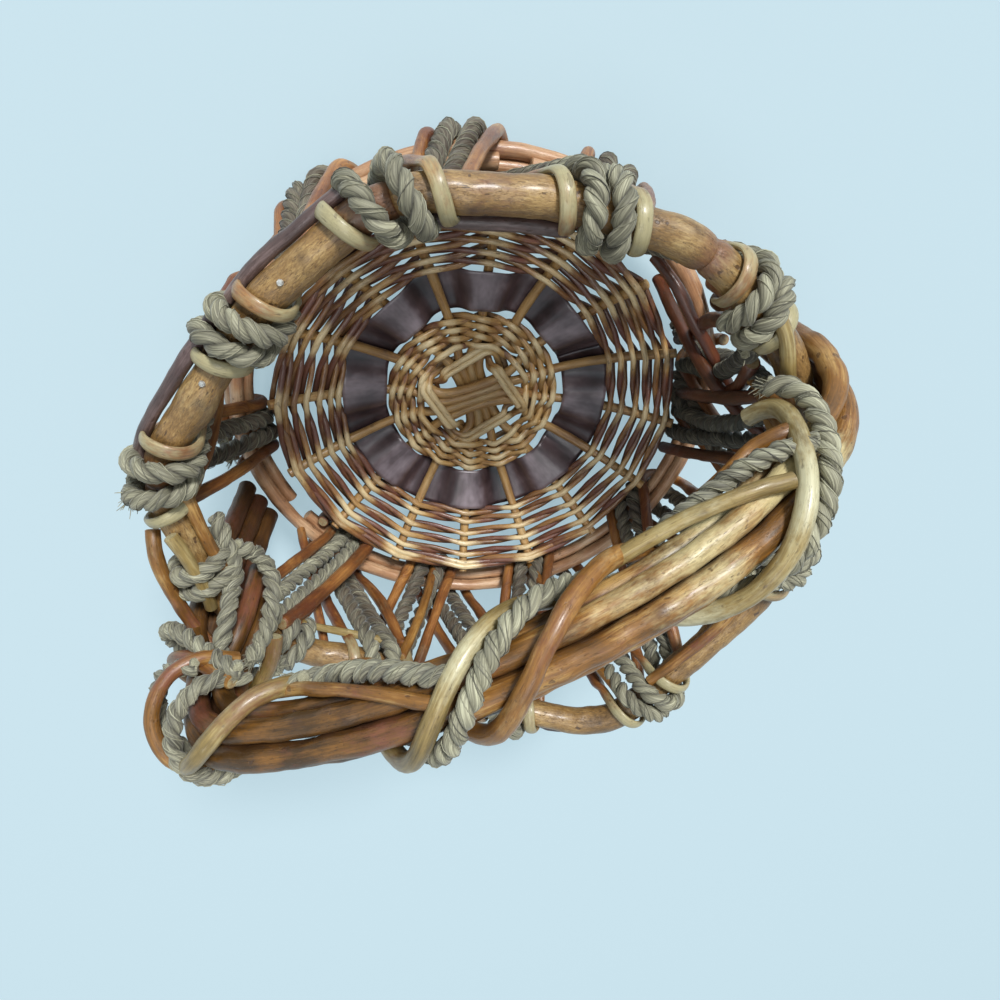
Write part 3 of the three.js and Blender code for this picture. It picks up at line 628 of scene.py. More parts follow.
def make_outer_weave():
    rng = np.random.default_rng(8)
    half = STAKE_DIA / 2 + WEAVER_DIA / 2 - 0.1
    stations = []
    radius_at = ([0, 10, 28, 44, 60, 76, 92, 104], [74, 75, 81.5, 87.8, 93.6, 99, 103, 103.6])
    for k in range(OUTER_STATIONS):
        radius = np.interp(k, *radius_at) + rng.uniform(-0.55, 0.55) * (k < 84)
        azimuth = STAKE_TURN + STAKE_STEP * (k + 5)
        stations.append((azimuth, radius, 0, half, 0, 0, TWINE_LEAN))
    weave("outer_weave_rods", "outer_weave", stations, 410, 1.14 * WEAVER_DIA, 0.4, 0.32, 0.1)


def make_ribbon():
    piece = Piece("ribbon_strip")
    inner = INNER_WEAVE_OUT - 0.1
    outer = RIBBON_OUT + 0.2
    bulge = STAKE_DIA / 2 + RIBBON_THICK / 2 + 2 * FIT
    azimuth = STAKE_TURN + np.linspace(-6, 366, STAKE_COUNT * 26)
    lap = smooth((np.abs(azimuth - STAKE_TURN - 180) - 180) / 6)
    beat = np.cos(np.pi * (azimuth - STAKE_TURN) / STAKE_STEP)
    lift = -bulge * np.tanh(1.9 * beat) / np.tanh(1.9)
    lift = lift + np.where(azimuth > STAKE_TURN + 180, 1.0, -0.1) * lap
    across = np.linspace(0, 1, 13)
    rows = []
    for share in across:
        radius = inner + (outer - inner) * share
        sag = 0.35 * np.sin(np.pi * share) * np.sign(lift) * np.minimum(1, np.abs(lift) / bulge)
        edge = 0.25 * wave(azimuth, 40, 5 + int(share > 0.5)) * (2 * share - 1) ** 4
        rows.append(on_dish(azimuth, radius + edge, lift + sag))
    top = np.stack(rows, 1)
    normal = unit(np.cross(np.gradient(top, axis=1), np.gradient(top, axis=0)))
    half = RIBBON_THICK / 2 * np.sqrt(np.clip(1 - (2 * across - 1) ** 12, 0.02, 1))
    thick = normal * half[None, :, None]
    ring = np.concatenate([top + thick, (top - thick)[:, ::-1]], 1)
    count, sides = ring.shape[:2]
    faces = ring_faces(count, sides)
    k = np.arange(sides // 2 - 1)
    for start, way in ((0, 1), ((count - 1) * sides, -1)):
        cap = np.stack([k, k + 1, sides - 2 - k, sides - 1 - k], -1) + start
        faces.append(cap[:, ::-way])
    width = (outer - inner) * np.concatenate([across, across[::-1]])
    grain = stacked(azimuth[:, None] * 1.05, width[None, :], 0.0)
    none = np.zeros((count, sides))
    # Painted sheen: the ribbon is paler where it bulges over a stake.
    tone = stacked(0.25 * wave(azimuth, 33, 9)[:, None], none, 0.5 * smooth(-beat)[:, None])
    piece.add(faces, *(rows.reshape(-1, 3) for rows in (ring, grain, tone)), none.ravel())
    piece.build("ribbon", "ribbon")


# Hoop and rim


def make_hoop():
    for i, angle in enumerate((90, 210, 330)):
        a = np.radians(angle)
        start = HOOP_STARTS[i] + HOOP_OPENING / 2
        azimuth = start + np.linspace(0, 360 - HOOP_OPENING, 60)
        radius = HOOP_RADIUS + HOOP_OFFSET * np.cos(a) + 0.35 * wave(azimuth, 90, 20 + i)
        z = HOOP_Z + HOOP_OFFSET * np.sin(a) + 0.3 * wave(azimuth, 70, 30 + i)
        path = curve(polar(azimuth, radius, z), 2.2)
        reach = lengths(path)
        size = HOOP_ROD_DIA / 2 * (1.06 + 0.06 * wave(reach, 160, 60 + i))
        tone = woody(reach, 60 + i, red=0.15, pale=0.1, bright=0.1)
        rod(
            f"hoop_rod_{i + 1}_peeled", "hoop", path, size, 20, 60 + i, tone,
            f"hoop_rod_{i + 1}", lumps=0.04, knots=knots_for(reach, 120, 0.5, 60 + i),
        )


bends = np.array(RIM_BENDS, float)
bend_points = polar(bends[:, 0], HOOP_RADIUS + bends[:, 1], RIM_HEIGHT + bends[:, 2])


def rim_chord(azimuth):
    """The straight lines from bend to bend."""
    a = np.mod(azimuth, 360)
    after = np.searchsorted(bends[:, 0], a, side="right")
    to, back = after % len(bends), after - 1
    from_sine = (HOOP_RADIUS + bends[back, 1]) * np.sin(np.radians(a - bends[back, 0]))
    to_sine = (HOOP_RADIUS + bends[to, 1]) * np.sin(np.radians(bends[to, 0] - a))
    share = (from_sine / (from_sine + to_sine))[:, None]
    return bend_points[back] * (1 - share) + bend_points[to] * share


TABLE_AZIMUTHS = np.arange(0, 360, 0.1)
rim_table = eased(rim_chord, TABLE_AZIMUTHS, RIM_EASE)


def rim_centre(azimuth):
    return looked_up(azimuth, TABLE_AZIMUTHS, rim_table, period=360)


def rim_frame(azimuth):
    """The middle of the rim, and the directions out of it and up."""
    along = unit(rim_centre(azimuth + 1) - rim_centre(azimuth - 1))
    outward = unit(np.cross(along, UP))
    return rim_centre(azimuth), outward, np.cross(outward, along)


def hoop_frame(azimuth):
    up = np.broadcast_to(UP, np.shape(azimuth) + (3,))
    return polar(azimuth, HOOP_RADIUS, HOOP_Z), polar(azimuth, 1, 0), up


def frame_turn(held, angle, distance):
    """A point this far from the middle of a frame, at the angle up from outward."""
    centre, outward, up = held
    a = np.radians(np.asarray(angle, float))[..., None]
    d = np.asarray(distance, float)[..., None]
    return centre + outward * np.cos(a) * d + up * np.sin(a) * d


def make_rim():
    for i, (start, end) in enumerate(zip(BRANCH_JOINTS, BRANCH_JOINTS[1:])):
        path = curve(rim_centre(np.linspace(start + BRANCH_INSET, end - BRANCH_INSET, 40)), 1.5)
        reach = lengths(path)
        share = reach / reach[-1]
        taper = np.random.default_rng(90 + i).uniform(-0.06, 0.06)
        size = BRANCH_DIA / 2 * (1 + taper * (2 * share - 1) + 0.04 * wave(reach, 75, 90 + i))
        ends = np.minimum(reach, reach[-1] - reach) / 5
        size = size * (0.86 + 0.14 * np.sqrt(np.clip(ends, 0, 1)))
        red = 0.1 + 0.75 * smooth((0.16 - share) / 0.16) + 0.6 * smooth((share - 0.85) / 0.15)
        tone = woody(reach, 90 + 3 * i, red=red, pale=0.05, bright=-0.1)
        rod(
            f"branch_{i + 1}", "branch", path, size, 40, 90 + i, tone, f"rim_branch_{i + 1}",
            end=0.25, knots=knots_for(reach, 38, 1.0, 90 + i),
        )
    for name in ("nail_1", "nail_2"):
        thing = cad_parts[name]
        thing.data.materials.clear()
        thing.data.materials.append(nail_metal)


def make_brace():
    foot = frame_turn(hoop_frame(190.5), 90, HOOP_REACH + 0.9)
    top = frame_turn(rim_frame(204), -90, BRANCH_DIA / 2 + 0.6)
    path = curve([foot, foot * 0.55 + top * 0.45 + (0.5, 0.8, 0), top], ROD_STEP)
    reach = lengths(path)
    size = 2.4 + 0.12 * wave(reach, 40, 7)
    tone = woody(reach, 7, 0.5, 0)
    rod("wall_brace_rod", "lattice", path, size, 16, 7, tone, "wall_brace", lumps=0.04)


# Side lacing


def wrap_reach(at_rim, diameter):
    return ((BRANCH_DIA / 2 if at_rim else HOOP_REACH) + FIT + diameter / 2) * WRAP_SLACK


def wrap_points(at_rim, azimuth, diameter, t, slack=1.0):
    """Points of a wrap round the rim or the hoop, for t from 0 to 1."""
    held, (start, end) = (rim_frame, OVER_RIM) if at_rim else (hoop_frame, UNDER_HOOP)
    shift = np.degrees((t - 0.5) * WRAP_LEAN / np.linalg.norm(held(azimuth)[0], axis=-1))
    reach = wrap_reach(at_rim, diameter) * slack
    return frame_turn(held(azimuth + shift), start + (end - start) * t, reach)


def strand_azimuths(at_rim, azimuth, slope):
    """Where each strand of a wrap goes, side by side."""
    t = np.arange(6) / 5
    around = wrap_reach(True, SIDE_ROD_DIA) * np.radians(OVER_RIM[0] - OVER_RIM[1])
    steepest = max(slope, np.arctan2(WRAP_LEAN, around))
    start = azimuth
    for _ in range(3):
        places = [start]
        for (_, a, _), (_, b, _) in zip(STRANDS, STRANDS[1:]):
            need = ((a + b) / 2 + FIT) / np.cos(steepest)
            here = wrap_points(at_rim, places[-1], a, t)
            tries = places[-1] + 0.05 * np.arange(1, 240)
            there = wrap_points(at_rim, tries[:, None], b, t)
            least = np.linalg.norm(there - here, axis=-1).min(1)
            places.append(tries[np.argmax(least >= need)])
        start = azimuth - (places[-1] - places[0]) / 2
    return places


def lacing_rows(stations, starts_at_rim, strand):
    """Points along one strand: place, outward direction, and 1 at the rim or 0."""
    _, diameter, bow = STRANDS[strand]
    t = np.arange(9) / 8
    rows = []
    for i, azimuth in enumerate(stations):
        at_rim = (i % 2 == 0) == starts_at_rim
        near = [stations[k] for k in (i - 1, i + 1) if 0 <= k < len(stations)]
        widest = max(abs(s - azimuth) for s in near)
        slope = np.arctan2(np.radians(widest) * HOOP_RADIUS, RIM_HEIGHT - HOOP_Z)
        place = strand_azimuths(at_rim, azimuth, slope)[strand]
        slack = FLAT_SLACK if at_rim and diameter == SIDE_ROD_DIA else 1 / WRAP_SLACK
        points = wrap_points(at_rim, place, diameter, t, slack)
        outward = unit(points - (rim_frame if at_rim else hoop_frame)(place)[0])
        wrap = np.column_stack([points, outward, np.full(len(t), float(at_rim))])
        if rows:
            last = rows[-1][-1]
            for share in (0.25, 0.5, 0.75):
                middle = last * (1 - share) + wrap[0] * share
                flat = unit(np.array([middle[0], middle[1], 0]))
                middle[:3] += flat * bow * np.sin(np.pi * share)
                middle[3:] = [*flat, 0]
                rows.append(middle[None])
        rows.append(wrap)
    return np.vstack(rows)


def make_lacing():
    for label, stations, starts_at_rim in (("a", NEAR_WALL, True), ("b", FAR_WALL, False)):
        for j, (name, diameter, _) in enumerate(STRANDS):
            is_rope = diameter == ROPE_DIA
            rows = lacing_rows(stations, starts_at_rim, j)
            rows = curve(rows, ROPE_STEP if is_rope else LONG_ROD_STEP)
            path, outward, at_rim = rows[:, :3], unit(rows[:, 3:6]), np.clip(rows[:, 6], 0, 1)
            reach = lengths(path)
            seed = 500 + 40 * j + (7 if label == "b" else 0)
            node = f"{name}_{label}"
            if is_rope:
                hand = 1 if name == "side_rope_lower" else -1
                # Painted shade: the ropes are darker and browner towards the bottom, inside the
                # wall, where shade falls.
                low_in_shade = smooth((104 - path[:, 2]) / 30)
                shade = 0.3 * wave(reach, 90, seed) - 0.05 - 0.4 * low_in_shade
                tone = (shade, 0.6 * low_in_shade, 0.3 * at_rim)
                rope(f"{node}_strand", path, diameter, hand, seed, tone, node, frayed=True)
                continue
            flat = smooth(at_rim)
            size = diameter / 2 * (0.94 + 0.07 * wave(reach, 80, seed))
            red = 0.5 + 0.35 * wave(reach, 150, seed) - 0.85 * flat
            pale = 0.75 * smooth((at_rim - 0.5) * 2)
            tone = woody(reach, seed, red=red, pale=pale, bright=0.02)
            rod(
                f"{node}_strand", "lattice", path, size, 18, seed, tone, node, lumps=0.04,
                normals=outward, thick=1 - 0.55 * flat, wide=1 - 0.04 * flat,
                knots=knots_for(reach, 90, 0.35, seed),
            )


def make_lashings():
    beside = foot_pitch + (CORE_DIA + LASH_ROPE_DIA) / 2 + LASH_ROOM
    distance = BRANCH_DIA / 2 + LASH_ROOM + LASH_ROPE_DIA / 2
    quarters = np.arange(0, 360, 90)
    for i, (foot, way) in enumerate(LASHINGS):
        azimuth = foot + way * np.degrees(beside / abs(rim_centre(foot)[0]))
        points = []
        for k in range(LASH_LOOPS * LOOP_POINTS + 1):
            angle = -90 + 360 / LOOP_POINTS * k
            points.append(frame_turn(rim_frame(azimuth), angle, distance))
            step = least = 0
            while least < LASH_ROPE_DIA + LASH_GAP:
                step += 0.1
                here, there = (
                    frame_turn(rim_frame(azimuth + side * step / 2), quarters, distance)
                    for side in (-1, 1)
                )
                least = np.linalg.norm(here - there, axis=1).min()
            azimuth += way * step / LOOP_POINTS
        path = curve(points, WOUND_STEP)
        tone = (0.05, 0, 0.1)
        name = f"rim_lashing_{i + 1}"
        rope(f"{name}_rope", path, LASH_ROPE_DIA, (1, -1)[i % 2], 700 + 9 * i, tone, name)


# Handle

core_ring = (CORE_DIA + CORE_GAP) / 2 / np.sin(np.pi / 5)
foot_spread = (BRANCH_DIA + CORE_DIA) / 2 + FOOT_GAP
foot_pitch = CORE_DIA + CORE_GAP
feet = [rim_centre(180), rim_centre(0)]
wall_foot = HOOP_RADIUS + HOOP_REACH + FIT + CORE_DIA / 2


def arch_points():
    points = [feet[0]]
    for along, up in ARCH:
        foot = feet[0 if along < 0 else 1]
        z = RIM_HEIGHT + up * ARCH_HEIGHT
        lean = -ARCH_LEAN * smooth((z - foot[2]) / LEAN_HEIGHT)
        points.append(np.array([abs(along) * foot[0], lean, z]))
    return np.array(points + [feet[1]])


arch = curve(arch_points(), 0.5)
arch_along = tangents(arch)
arch_length = lengths(arch)[-1]


def arch_frame(share):
    """The middle of the handle, out of it, across it, and 1 where its rods are spread."""
    at = np.asarray(share, float) * (len(arch) - 1)
    index = np.arange(len(arch))
    centre = looked_up(at, index, arch)
    along = unit(looked_up(at, index, arch_along))
    across = np.array([0.0, 1.0, 0.0])
    outward = -unit(np.cross(across, along))
    foot_z = np.where(np.asarray(share) < 0.5, feet[0][2], feet[1][2])
    spread = smooth((SPREAD_START - (centre[..., 2] - foot_z)) / (SPREAD_START - SPREAD_END))
    return centre, outward, across, spread[..., None]


def make_core():
    centre, outward, across, spread = arch_frame(np.linspace(0, 1, 105))
    for i, (ring, out, side, thick, paler) in enumerate(CORE_RODS):
        a = np.radians(ring)
        high = np.sin(a) * core_ring * (1 - spread) + out * foot_spread * spread
        wide = np.cos(a) * core_ring * (1 - spread) + side * foot_pitch * spread
        points = centre + outward * high + across * wide
        inward = unit(centre - points) * (1 - 0.5 * spread)
        tails = []
        for sign, foot in zip((-1, 1), feet):
            x, z = sign * wall_foot, HOOP_Z
            if out < 0:
                x, z = foot[0] - sign * foot_spread, foot[2] - INNER_TAIL
            tails.append([x, side * foot_pitch, z, -sign * out * 0.5, 0, 0])
        rows = np.vstack([tails[0], np.hstack([points, inward]), tails[1]])
        rows = curve(rows, LONG_ROD_STEP)
        path, inward = rows[:, :3], rows[:, 3:]
        reach = lengths(path)
        size = CORE_DIA / 2 * thick * (1 + 0.06 * wave(reach, 95, 800 + i))
        x, z = path[:, 0], path[:, 2]
        right = smooth((x + 20) / 90)
        below_rim = smooth((125 - z) / 40)
        pale = paler * right * smooth((z - 120) / 40) - 0.45 * (1 - right)
        red = 0.3 - 0.3 * smooth((x + 40) / 90) + 0.15 * below_rim
        red = red + 0.5 * np.exp(-(((x - 84) / 20) ** 2)) * (0.6 + 0.4 * wave(reach, 60, 880 + i))
        bright = 0.35 * wave(reach, 45, 860 + i) - 0.05 - 0.9 * smooth((20 - x) / 90)
        tone = woody(reach, 800 + 5 * i, red=red, pale=pale, bright=bright - 0.3 * below_rim)
        # The sides that face the other rods get painted shade, for the crevices between them.
        rod(
            f"handle_rod_{i + 1}_bark", "core", path, size, CORE_SIDES, 800 + i, tone,
            f"handle_rod_{i + 1}", lumps=0.045,
            dark=0.75 * smooth((facing(path, CORE_SIDES, inward) + 0.25) / 0.8),
            knots=knots_for(reach, 55, 0.7, 800 + i),
        )


def turns_at(share):
    """How often the spirals have gone round, straight on past both ends of the table."""
    rows = np.array(CROSSINGS)
    rows = np.vstack([2 * rows[0] - rows[1], rows, 2 * rows[-1] - rows[-2]])
    return np.interp(share, *rows.T)


def around_handle(share, angle, room):
    """A point this far outside the handle's core rods. The angle is in degrees."""
    centre, outward, across, s = arch_frame(share)
    a = np.radians(angle)[..., None]
    spare = CORE_DIA / 2 + np.asarray(room, float)[..., None] + CORNER_SHARE * CORE_DIA * s
    high = core_ring * (1 - s) + foot_spread * s + spare
    wide = core_ring * (1 - s) + foot_pitch * s + spare
    return centre + outward * np.sin(a) * high + across * np.cos(a) * wide


def nearest_on(line, point):
    start, step = line[:-1], np.diff(line, axis=0)
    t = np.clip(np.sum((point - start) * step, 1) / np.sum(step * step, 1), 0, 1)
    return np.linalg.norm(start + step * t[:, None] - point, axis=1).min()


def spiral_lines():
    """The wound strands, each turned on until it clears the one before."""
    from_share = SPIRAL_END / arch_length
    shares = from_share + (1 - 2 * from_share) * np.arange(SPIRAL_STEPS + 1) / SPIRAL_STEPS
    angles = SPIRAL_FACE - 360 * eased(turns_at, shares, TURN_EASE)
    lines, shown = [], []
    for i, (_, gap, diameter, start, end) in enumerate(SPIRALS):
        need = (SPIRALS[i - 1][2] + diameter) / 2 + gap
        room = diameter / 2 + SPIRAL_ROOM
        line = []
        for k, share in enumerate(shares):
            point = around_handle(share, angles[k], room)
            while i and nearest_on(lines[-1], point) < need:
                angles[k] += 1
                point = around_handle(share, angles[k], room)
            line.append(point)
        lines.append(np.array(line))
        shown.append(lines[-1][(shares >= start) & (shares <= end)])
    return shown


def make_spirals():
    for i, line in enumerate(spiral_lines()):
        name, diameter = SPIRALS[i][0], SPIRALS[i][2]
        path = curve(line, WOUND_STEP if name == "handle_rope" else ROD_STEP)
        reach = lengths(path)
        if name == "handle_rope":
            tone = (0.25 + 0.15 * wave(reach, 90, 4), 0, 0.35)
            rope(f"{name}_wound", path, diameter, -1, 900, tone, name, frayed=True)
            continue
        size = diameter / 2 * (1 + 0.05 * wave(reach, 70, 910 + i))
        right = smooth((path[:, 0] + 70) / 90)
        if name == "handle_pale_rod":
            look, seed, lumps = "pale", 910, 0.03
            shades = (0.3 - 0.4 * right, 0.5 * right, 0.3 * right - 0.35)
        else:
            look, seed, lumps = "orange", 930, 0.035
            shades = (0.35, 0.1, 0.1 * right - 0.2)
        tone = woody(reach, seed, *shades)
        rod(f"{name}_wound", look, path, size, 24, seed, tone, name, lumps=lumps)


# Strands that only the looks have: rows of places, round the handle (share of its length,
# angle, room), round the rim (azimuth, angle, room), along the wall (azimuth, height, out) or
# in the open (azimuth, radius, z)


def over_rim(azimuth, angle, room):
    return frame_turn(rim_frame(azimuth), angle, BRANCH_DIA / 2 + room)


def over_wall(azimuth, height, out):
    foot = polar(azimuth, HOOP_RADIUS, HOOP_Z)
    share = height[:, None]
    return foot * (1 - share) + rim_centre(azimuth) * share + polar(azimuth, 1, 0) * out[:, None]


END_STRANDS = [
    ("end_wrap_rope", "tucked rope", 7.4, around_handle, [
        (0.165, 290, 6), (0.17, 320, 6), (0.172, 350, 6), (0.176, 25, 6), (0.184, 65, 6),
        (0.19, 100, 6), (0.19, 140, 6), (0.184, 190, 6), (0.175, 240, 6)]),
    ("end_back_rope", "tucked rope", 7.4, around_handle, [
        (0.143, 345, 9), (0.13, 3, 9), (0.12, 30, 9), (0.122, 48, 8.5), (0.135, 62, 8),
        (0.15, 90, 7), (0.155, 140, 7)]),
    ("top_rope", "tucked rope", 8.4, around_handle, [
        (0.282, 308, 5), (0.302, 308, 5), (0.33, 312, 5), (0.36, 322, 5), (0.39, 338, 5),
        (0.42, 352, 4.6), (0.45, 10, 4.4), (0.478, 27, 4.2)]),
    ("top_rod", "core", 5.2, around_handle, [
        (0.262, 311, 3), (0.285, 313, 3), (0.31, 320, 3), (0.345, 342, 3), (0.385, 2, 3),
        (0.42, 22, 3), (0.45, 42, 3), (0.466, 52, 3)]),
    ("end_wrap_brown", "core", 6.2, around_handle, [
        (0.12, 300, 7), (0.13, 335, 9), (0.14, 10, 11), (0.155, 50, 11), (0.168, 90, 9),
        (0.172, 130, 7), (0.168, 180, 7), (0.16, 230, 7)]),
    ("end_rope", "rope", 7.6, around_handle, [
        (0.18, 308, 10), (0.14, 322, 9), (0.1, 345, 8), (0.07, 20, 8), (0.05, 60, 8),
        (0.045, 110, 7), (0.05, 160, 7), (0.05, 210, 7)]),
    ("end_rod", "core", 6.2, around_handle, [
        (0.18, 312, 5), (0.15, 325, 5), (0.115, 350, 5), (0.095, 20, 5), (0.08, 60, 5),
        (0.075, 110, 5), (0.075, 160, 5), (0.08, 210, 5)]),
    ("leg_rod", "core", 6, over_rim, [
        (157, -5, 5), (160, 20, 7), (165, 28, 9), (171, 33, 10), (177, 47, 12), (183, 75, 20)]),
    ("right_rod", "orange", 6.4, around_handle, [
        (0.885, 5, 4), (0.868, 350, 5), (0.85, 330, 5), (0.81, 315, 5), (0.77, 303, 5)]),
    ("right_rope", "tucked rope", 7.6, around_handle, [
        (0.88, 34, 4.5), (0.85, 6, 4.5), (0.82, 343, 4.5), (0.785, 325, 4.5), (0.745, 311, 4.5),
        (0.71, 297, 4.5)]),
    ("right_pale", "pale", 6, around_handle, [
        (0.83, 38, 3.4), (0.805, 20, 4), (0.77, 358, 4), (0.73, 336, 4), (0.69, 319, 4),
        (0.65, 303, 4)]),
    ("hang_rope_a", "rope", 8, polar, [
        (158.9, 120, 102), (163.5, 116.8, 110), (170.2, 117.5, 114), (172.3, 120, 124),
        (174.3, 121.8, 132), (176.3, 125.3, 139), (178.5, 128.5, 146)]),
    ("hang_rope_b", "rope", 8, polar, [
        (165, 114.5, 108), (171.5, 109.5, 101.5), (175.9, 107.6, 106), (177.9, 107, 119),
        (180.5, 110, 128), (182, 115.5, 136), (182, 118.5, 144)]),
    ("hang_rod", "pale", 5.6, over_rim, [
        (156, 88, 3), (161, 96, 4.2), (166, 98, 4.5), (171, 90, 4), (174, 76, 3)]),
    ("top_cut_rod", "pale", 5.8, over_rim, [(17, 68, 3.2), (13, 85, 4), (9, 103, 4.5),
        (5, 118, 4)]),
    ("frayed_rope", "rope", 7, over_rim, [
        (143, -80, 5), (146, -45, 5.5), (148.5, -22, 5.5), (149.5, -6, 5.5), (150, 6, 6)]),
    ("rim_side_rod_1", "bark", 5.2, over_rim, [
        (87, -12, 2.6), (95, -6, 2.8), (104, -14, 3), (111, -25, 2.6)]),
    ("rim_side_rod_2", "bark", 5.6, over_rim, [
        (112, -2, 2.8), (121, 6, 3.2), (131, 2, 3.4), (139, -8, 3), (145, -20, 2.8)]),
    ("rim_side_rod_3", "core", 5.4, over_rim, [
        (150, 168, 2.8), (157, 160, 3.2), (165, 156, 3.4), (173, 162, 2.8)]),
    ("rim_side_rod_4", "bark", 5.6, over_rim, [
        (54, 196, 2.8), (62, 190, 3.2), (70, 192, 3.2), (77, 202, 2.8)]),
    ("rim_side_rod_5", "bark", 5.4, over_rim, [
        (253, -24, 2.8), (261, -14, 3.2), (270, -10, 3.4), (277, -20, 2.8)]),
    ("rim_side_rod_6", "core", 5.4, over_rim, [
        (284, 160, 2.8), (294, 152, 3.2), (305, 150, 3.4), (316, 160, 2.8)]),
    ("rim_side_rod_7", "bark", 5.4, over_rim, [
        (222, 150, 2.8), (229, 140, 3.2), (237, 138, 3.4), (245, 150, 2.8)]),
    ("thin_brace_a", "lattice", 3.7, over_wall, [
        (208, 0.06, -9), (201, 0.5, -8.5), (193.5, 1.0, -9)]),
    ("lower_wall_rod_1", "orange", 5, over_wall, [
        (232, 0.02, -10.5), (229, 0.35, -12), (225, 0.7, -12), (221, 1.0, -10)]),
    ("lower_wall_rod_2", "orange", 5, over_wall, [
        (262, 0.02, -10.5), (266, 0.35, -12), (271, 0.7, -12), (276, 1.0, -10)]),
    ("thin_brace_b", "pale", 4, over_wall, [
        (195, 0.93, -9.5), (206, 0.89, -9), (217, 0.88, -8.5)]),
    ("left_rope_1", "tucked rope", 7.8, over_wall, [
        (203, -0.04, -10), (198, 0.25, -11), (192, 0.55, -10), (186, 0.85, -9), (182, 1.05, -10)]),
    ("left_rope_2", "tucked rope", 7.8, over_wall, [
        (206.5, -0.02, -10), (201.5, 0.3, -11), (195.5, 0.6, -10), (189.5, 0.9, -9),
        (186, 1.05, -10)]),
    ("left_rod", "lattice", 5.8, over_wall, [
        (199, -0.04, -10), (195, 0.2, -10), (189, 0.5, -9.5), (183, 0.8, -9), (179, 1.02, -10)]),
    ("left_strip", "lattice", 7.5, over_wall, [
        (210, 0.0, -13), (205, 0.3, -15), (199, 0.6, -14), (193, 0.88, -12), (189, 1.03, -11)]),
    # The right wall's dark rods and ropes: their darkness is painted shade, for the wall's shadow.
    ("right_wall_rope_1", "dark rope", 8, over_wall, [
        (345, -0.04, -10), (351, 0.22, -13), (355, 0.48, -14), (3, 0.75, -13), (12, 1.02, -12)]),
    ("right_wall_rope_2", "dark rope", 8, over_wall, [
        (357, -0.04, -10), (355, 0.25, -11), (358, 0.5, -8), (2, 0.75, -9), (4, 1.02, -12)]),
    ("right_wall_rod_1", "dark rod", 6.4, over_wall, [
        (353, -0.04, -10), (0.5, 0.25, -12), (8.5, 0.5, -11), (14, 0.75, -10), (17, 1.0, -10)]),
    ("right_wall_rod_2", "dark rod", 6.4, over_wall, [
        (338, -0.02, -10), (343, 0.25, -13), (349.5, 0.5, -16), (357.5, 0.75, -14),
        (8, 0.97, -12)]),
    ("right_wall_rod_3", "dark rod", 6, over_wall, [
        (12, -0.02, -10), (6, 0.25, -16), (359, 0.5, -19), (352, 0.75, -17), (347, 0.99, -11)]),
    ("right_wall_rod_4", "dark rod", 5.6, over_wall, [
        (24, 0.3, -9), (17, 0.4, -11), (9, 0.46, -14), (0, 0.5, -13), (350, 0.52, -9)]),
    ("cross_rope_1", "dark rope", 8, over_wall, [
        (325, -0.03, -10), (331, 0.25, -17), (338, 0.5, -20), (345, 0.78, -18), (351, 1.02, -11)]),
    ("cross_rope_2", "dark rope", 8, over_wall, [
        (331.5, -0.03, -10), (337, 0.25, -16), (342, 0.5, -20), (350, 0.78, -19),
        (357, 1.02, -12)]),
    ("cross_rod_1", "dark rod", 6.2, over_wall, [
        (319, -0.03, -10), (326, 0.25, -16), (333, 0.52, -18), (340, 0.8, -15), (346, 1.0, -10)]),
    ("cross_rod_2", "dark rod", 6, over_wall, [
        (337, -0.03, -10), (344, 0.25, -18), (350.5, 0.5, -22), (356.5, 0.78, -19), (1, 1.0, -13)]),
]


def make_end_strands():
    woods = {  # look, redness, paleness
        "pale": ("pale", 0.05, 0.1),
        "core": ("core", 0.3, 0),
        "orange": ("orange", 0.3, 0.05),
        "lattice": ("lattice", 0.45, 0),
        # dark rod: the lattice look, redder and less pale, as part of its painted shade
        "dark rod": ("lattice", 0.7, -0.3),
        "bark": ("bark", 0.3, 0.1),
    }
    for i, (name, kind, diameter, place, rows) in enumerate(END_STRANDS):
        is_rope = kind.endswith("rope")
        path = curve(place(*np.array(rows, float).T), ROPE_STEP if is_rope else ROD_STEP)
        seed = 1000 + 13 * i
        # Painted shade: dark rods and ropes are made much darker, standing for the shade in the
        # right wall.
        shade = -1.3 if kind.startswith("dark") else 0.0
        if is_rope:
            hand = 1 if i % 2 else -1
            rope(name, path, diameter, hand, seed, (shade, 0, 0.1), frayed=kind != "tucked rope")
            continue
        look, red, pale = woods[kind]
        reach = lengths(path)
        size = diameter / 2 * (1 + 0.06 * wave(reach, 60, seed))
        tone = woody(reach, seed, red=red, pale=pale, bright=shade - 0.1)
        knots = knots_for(reach, 70, 0.4, seed)
        rod(name, look, path, size, 20, seed, tone, lumps=0.045, knots=knots)


# Materials


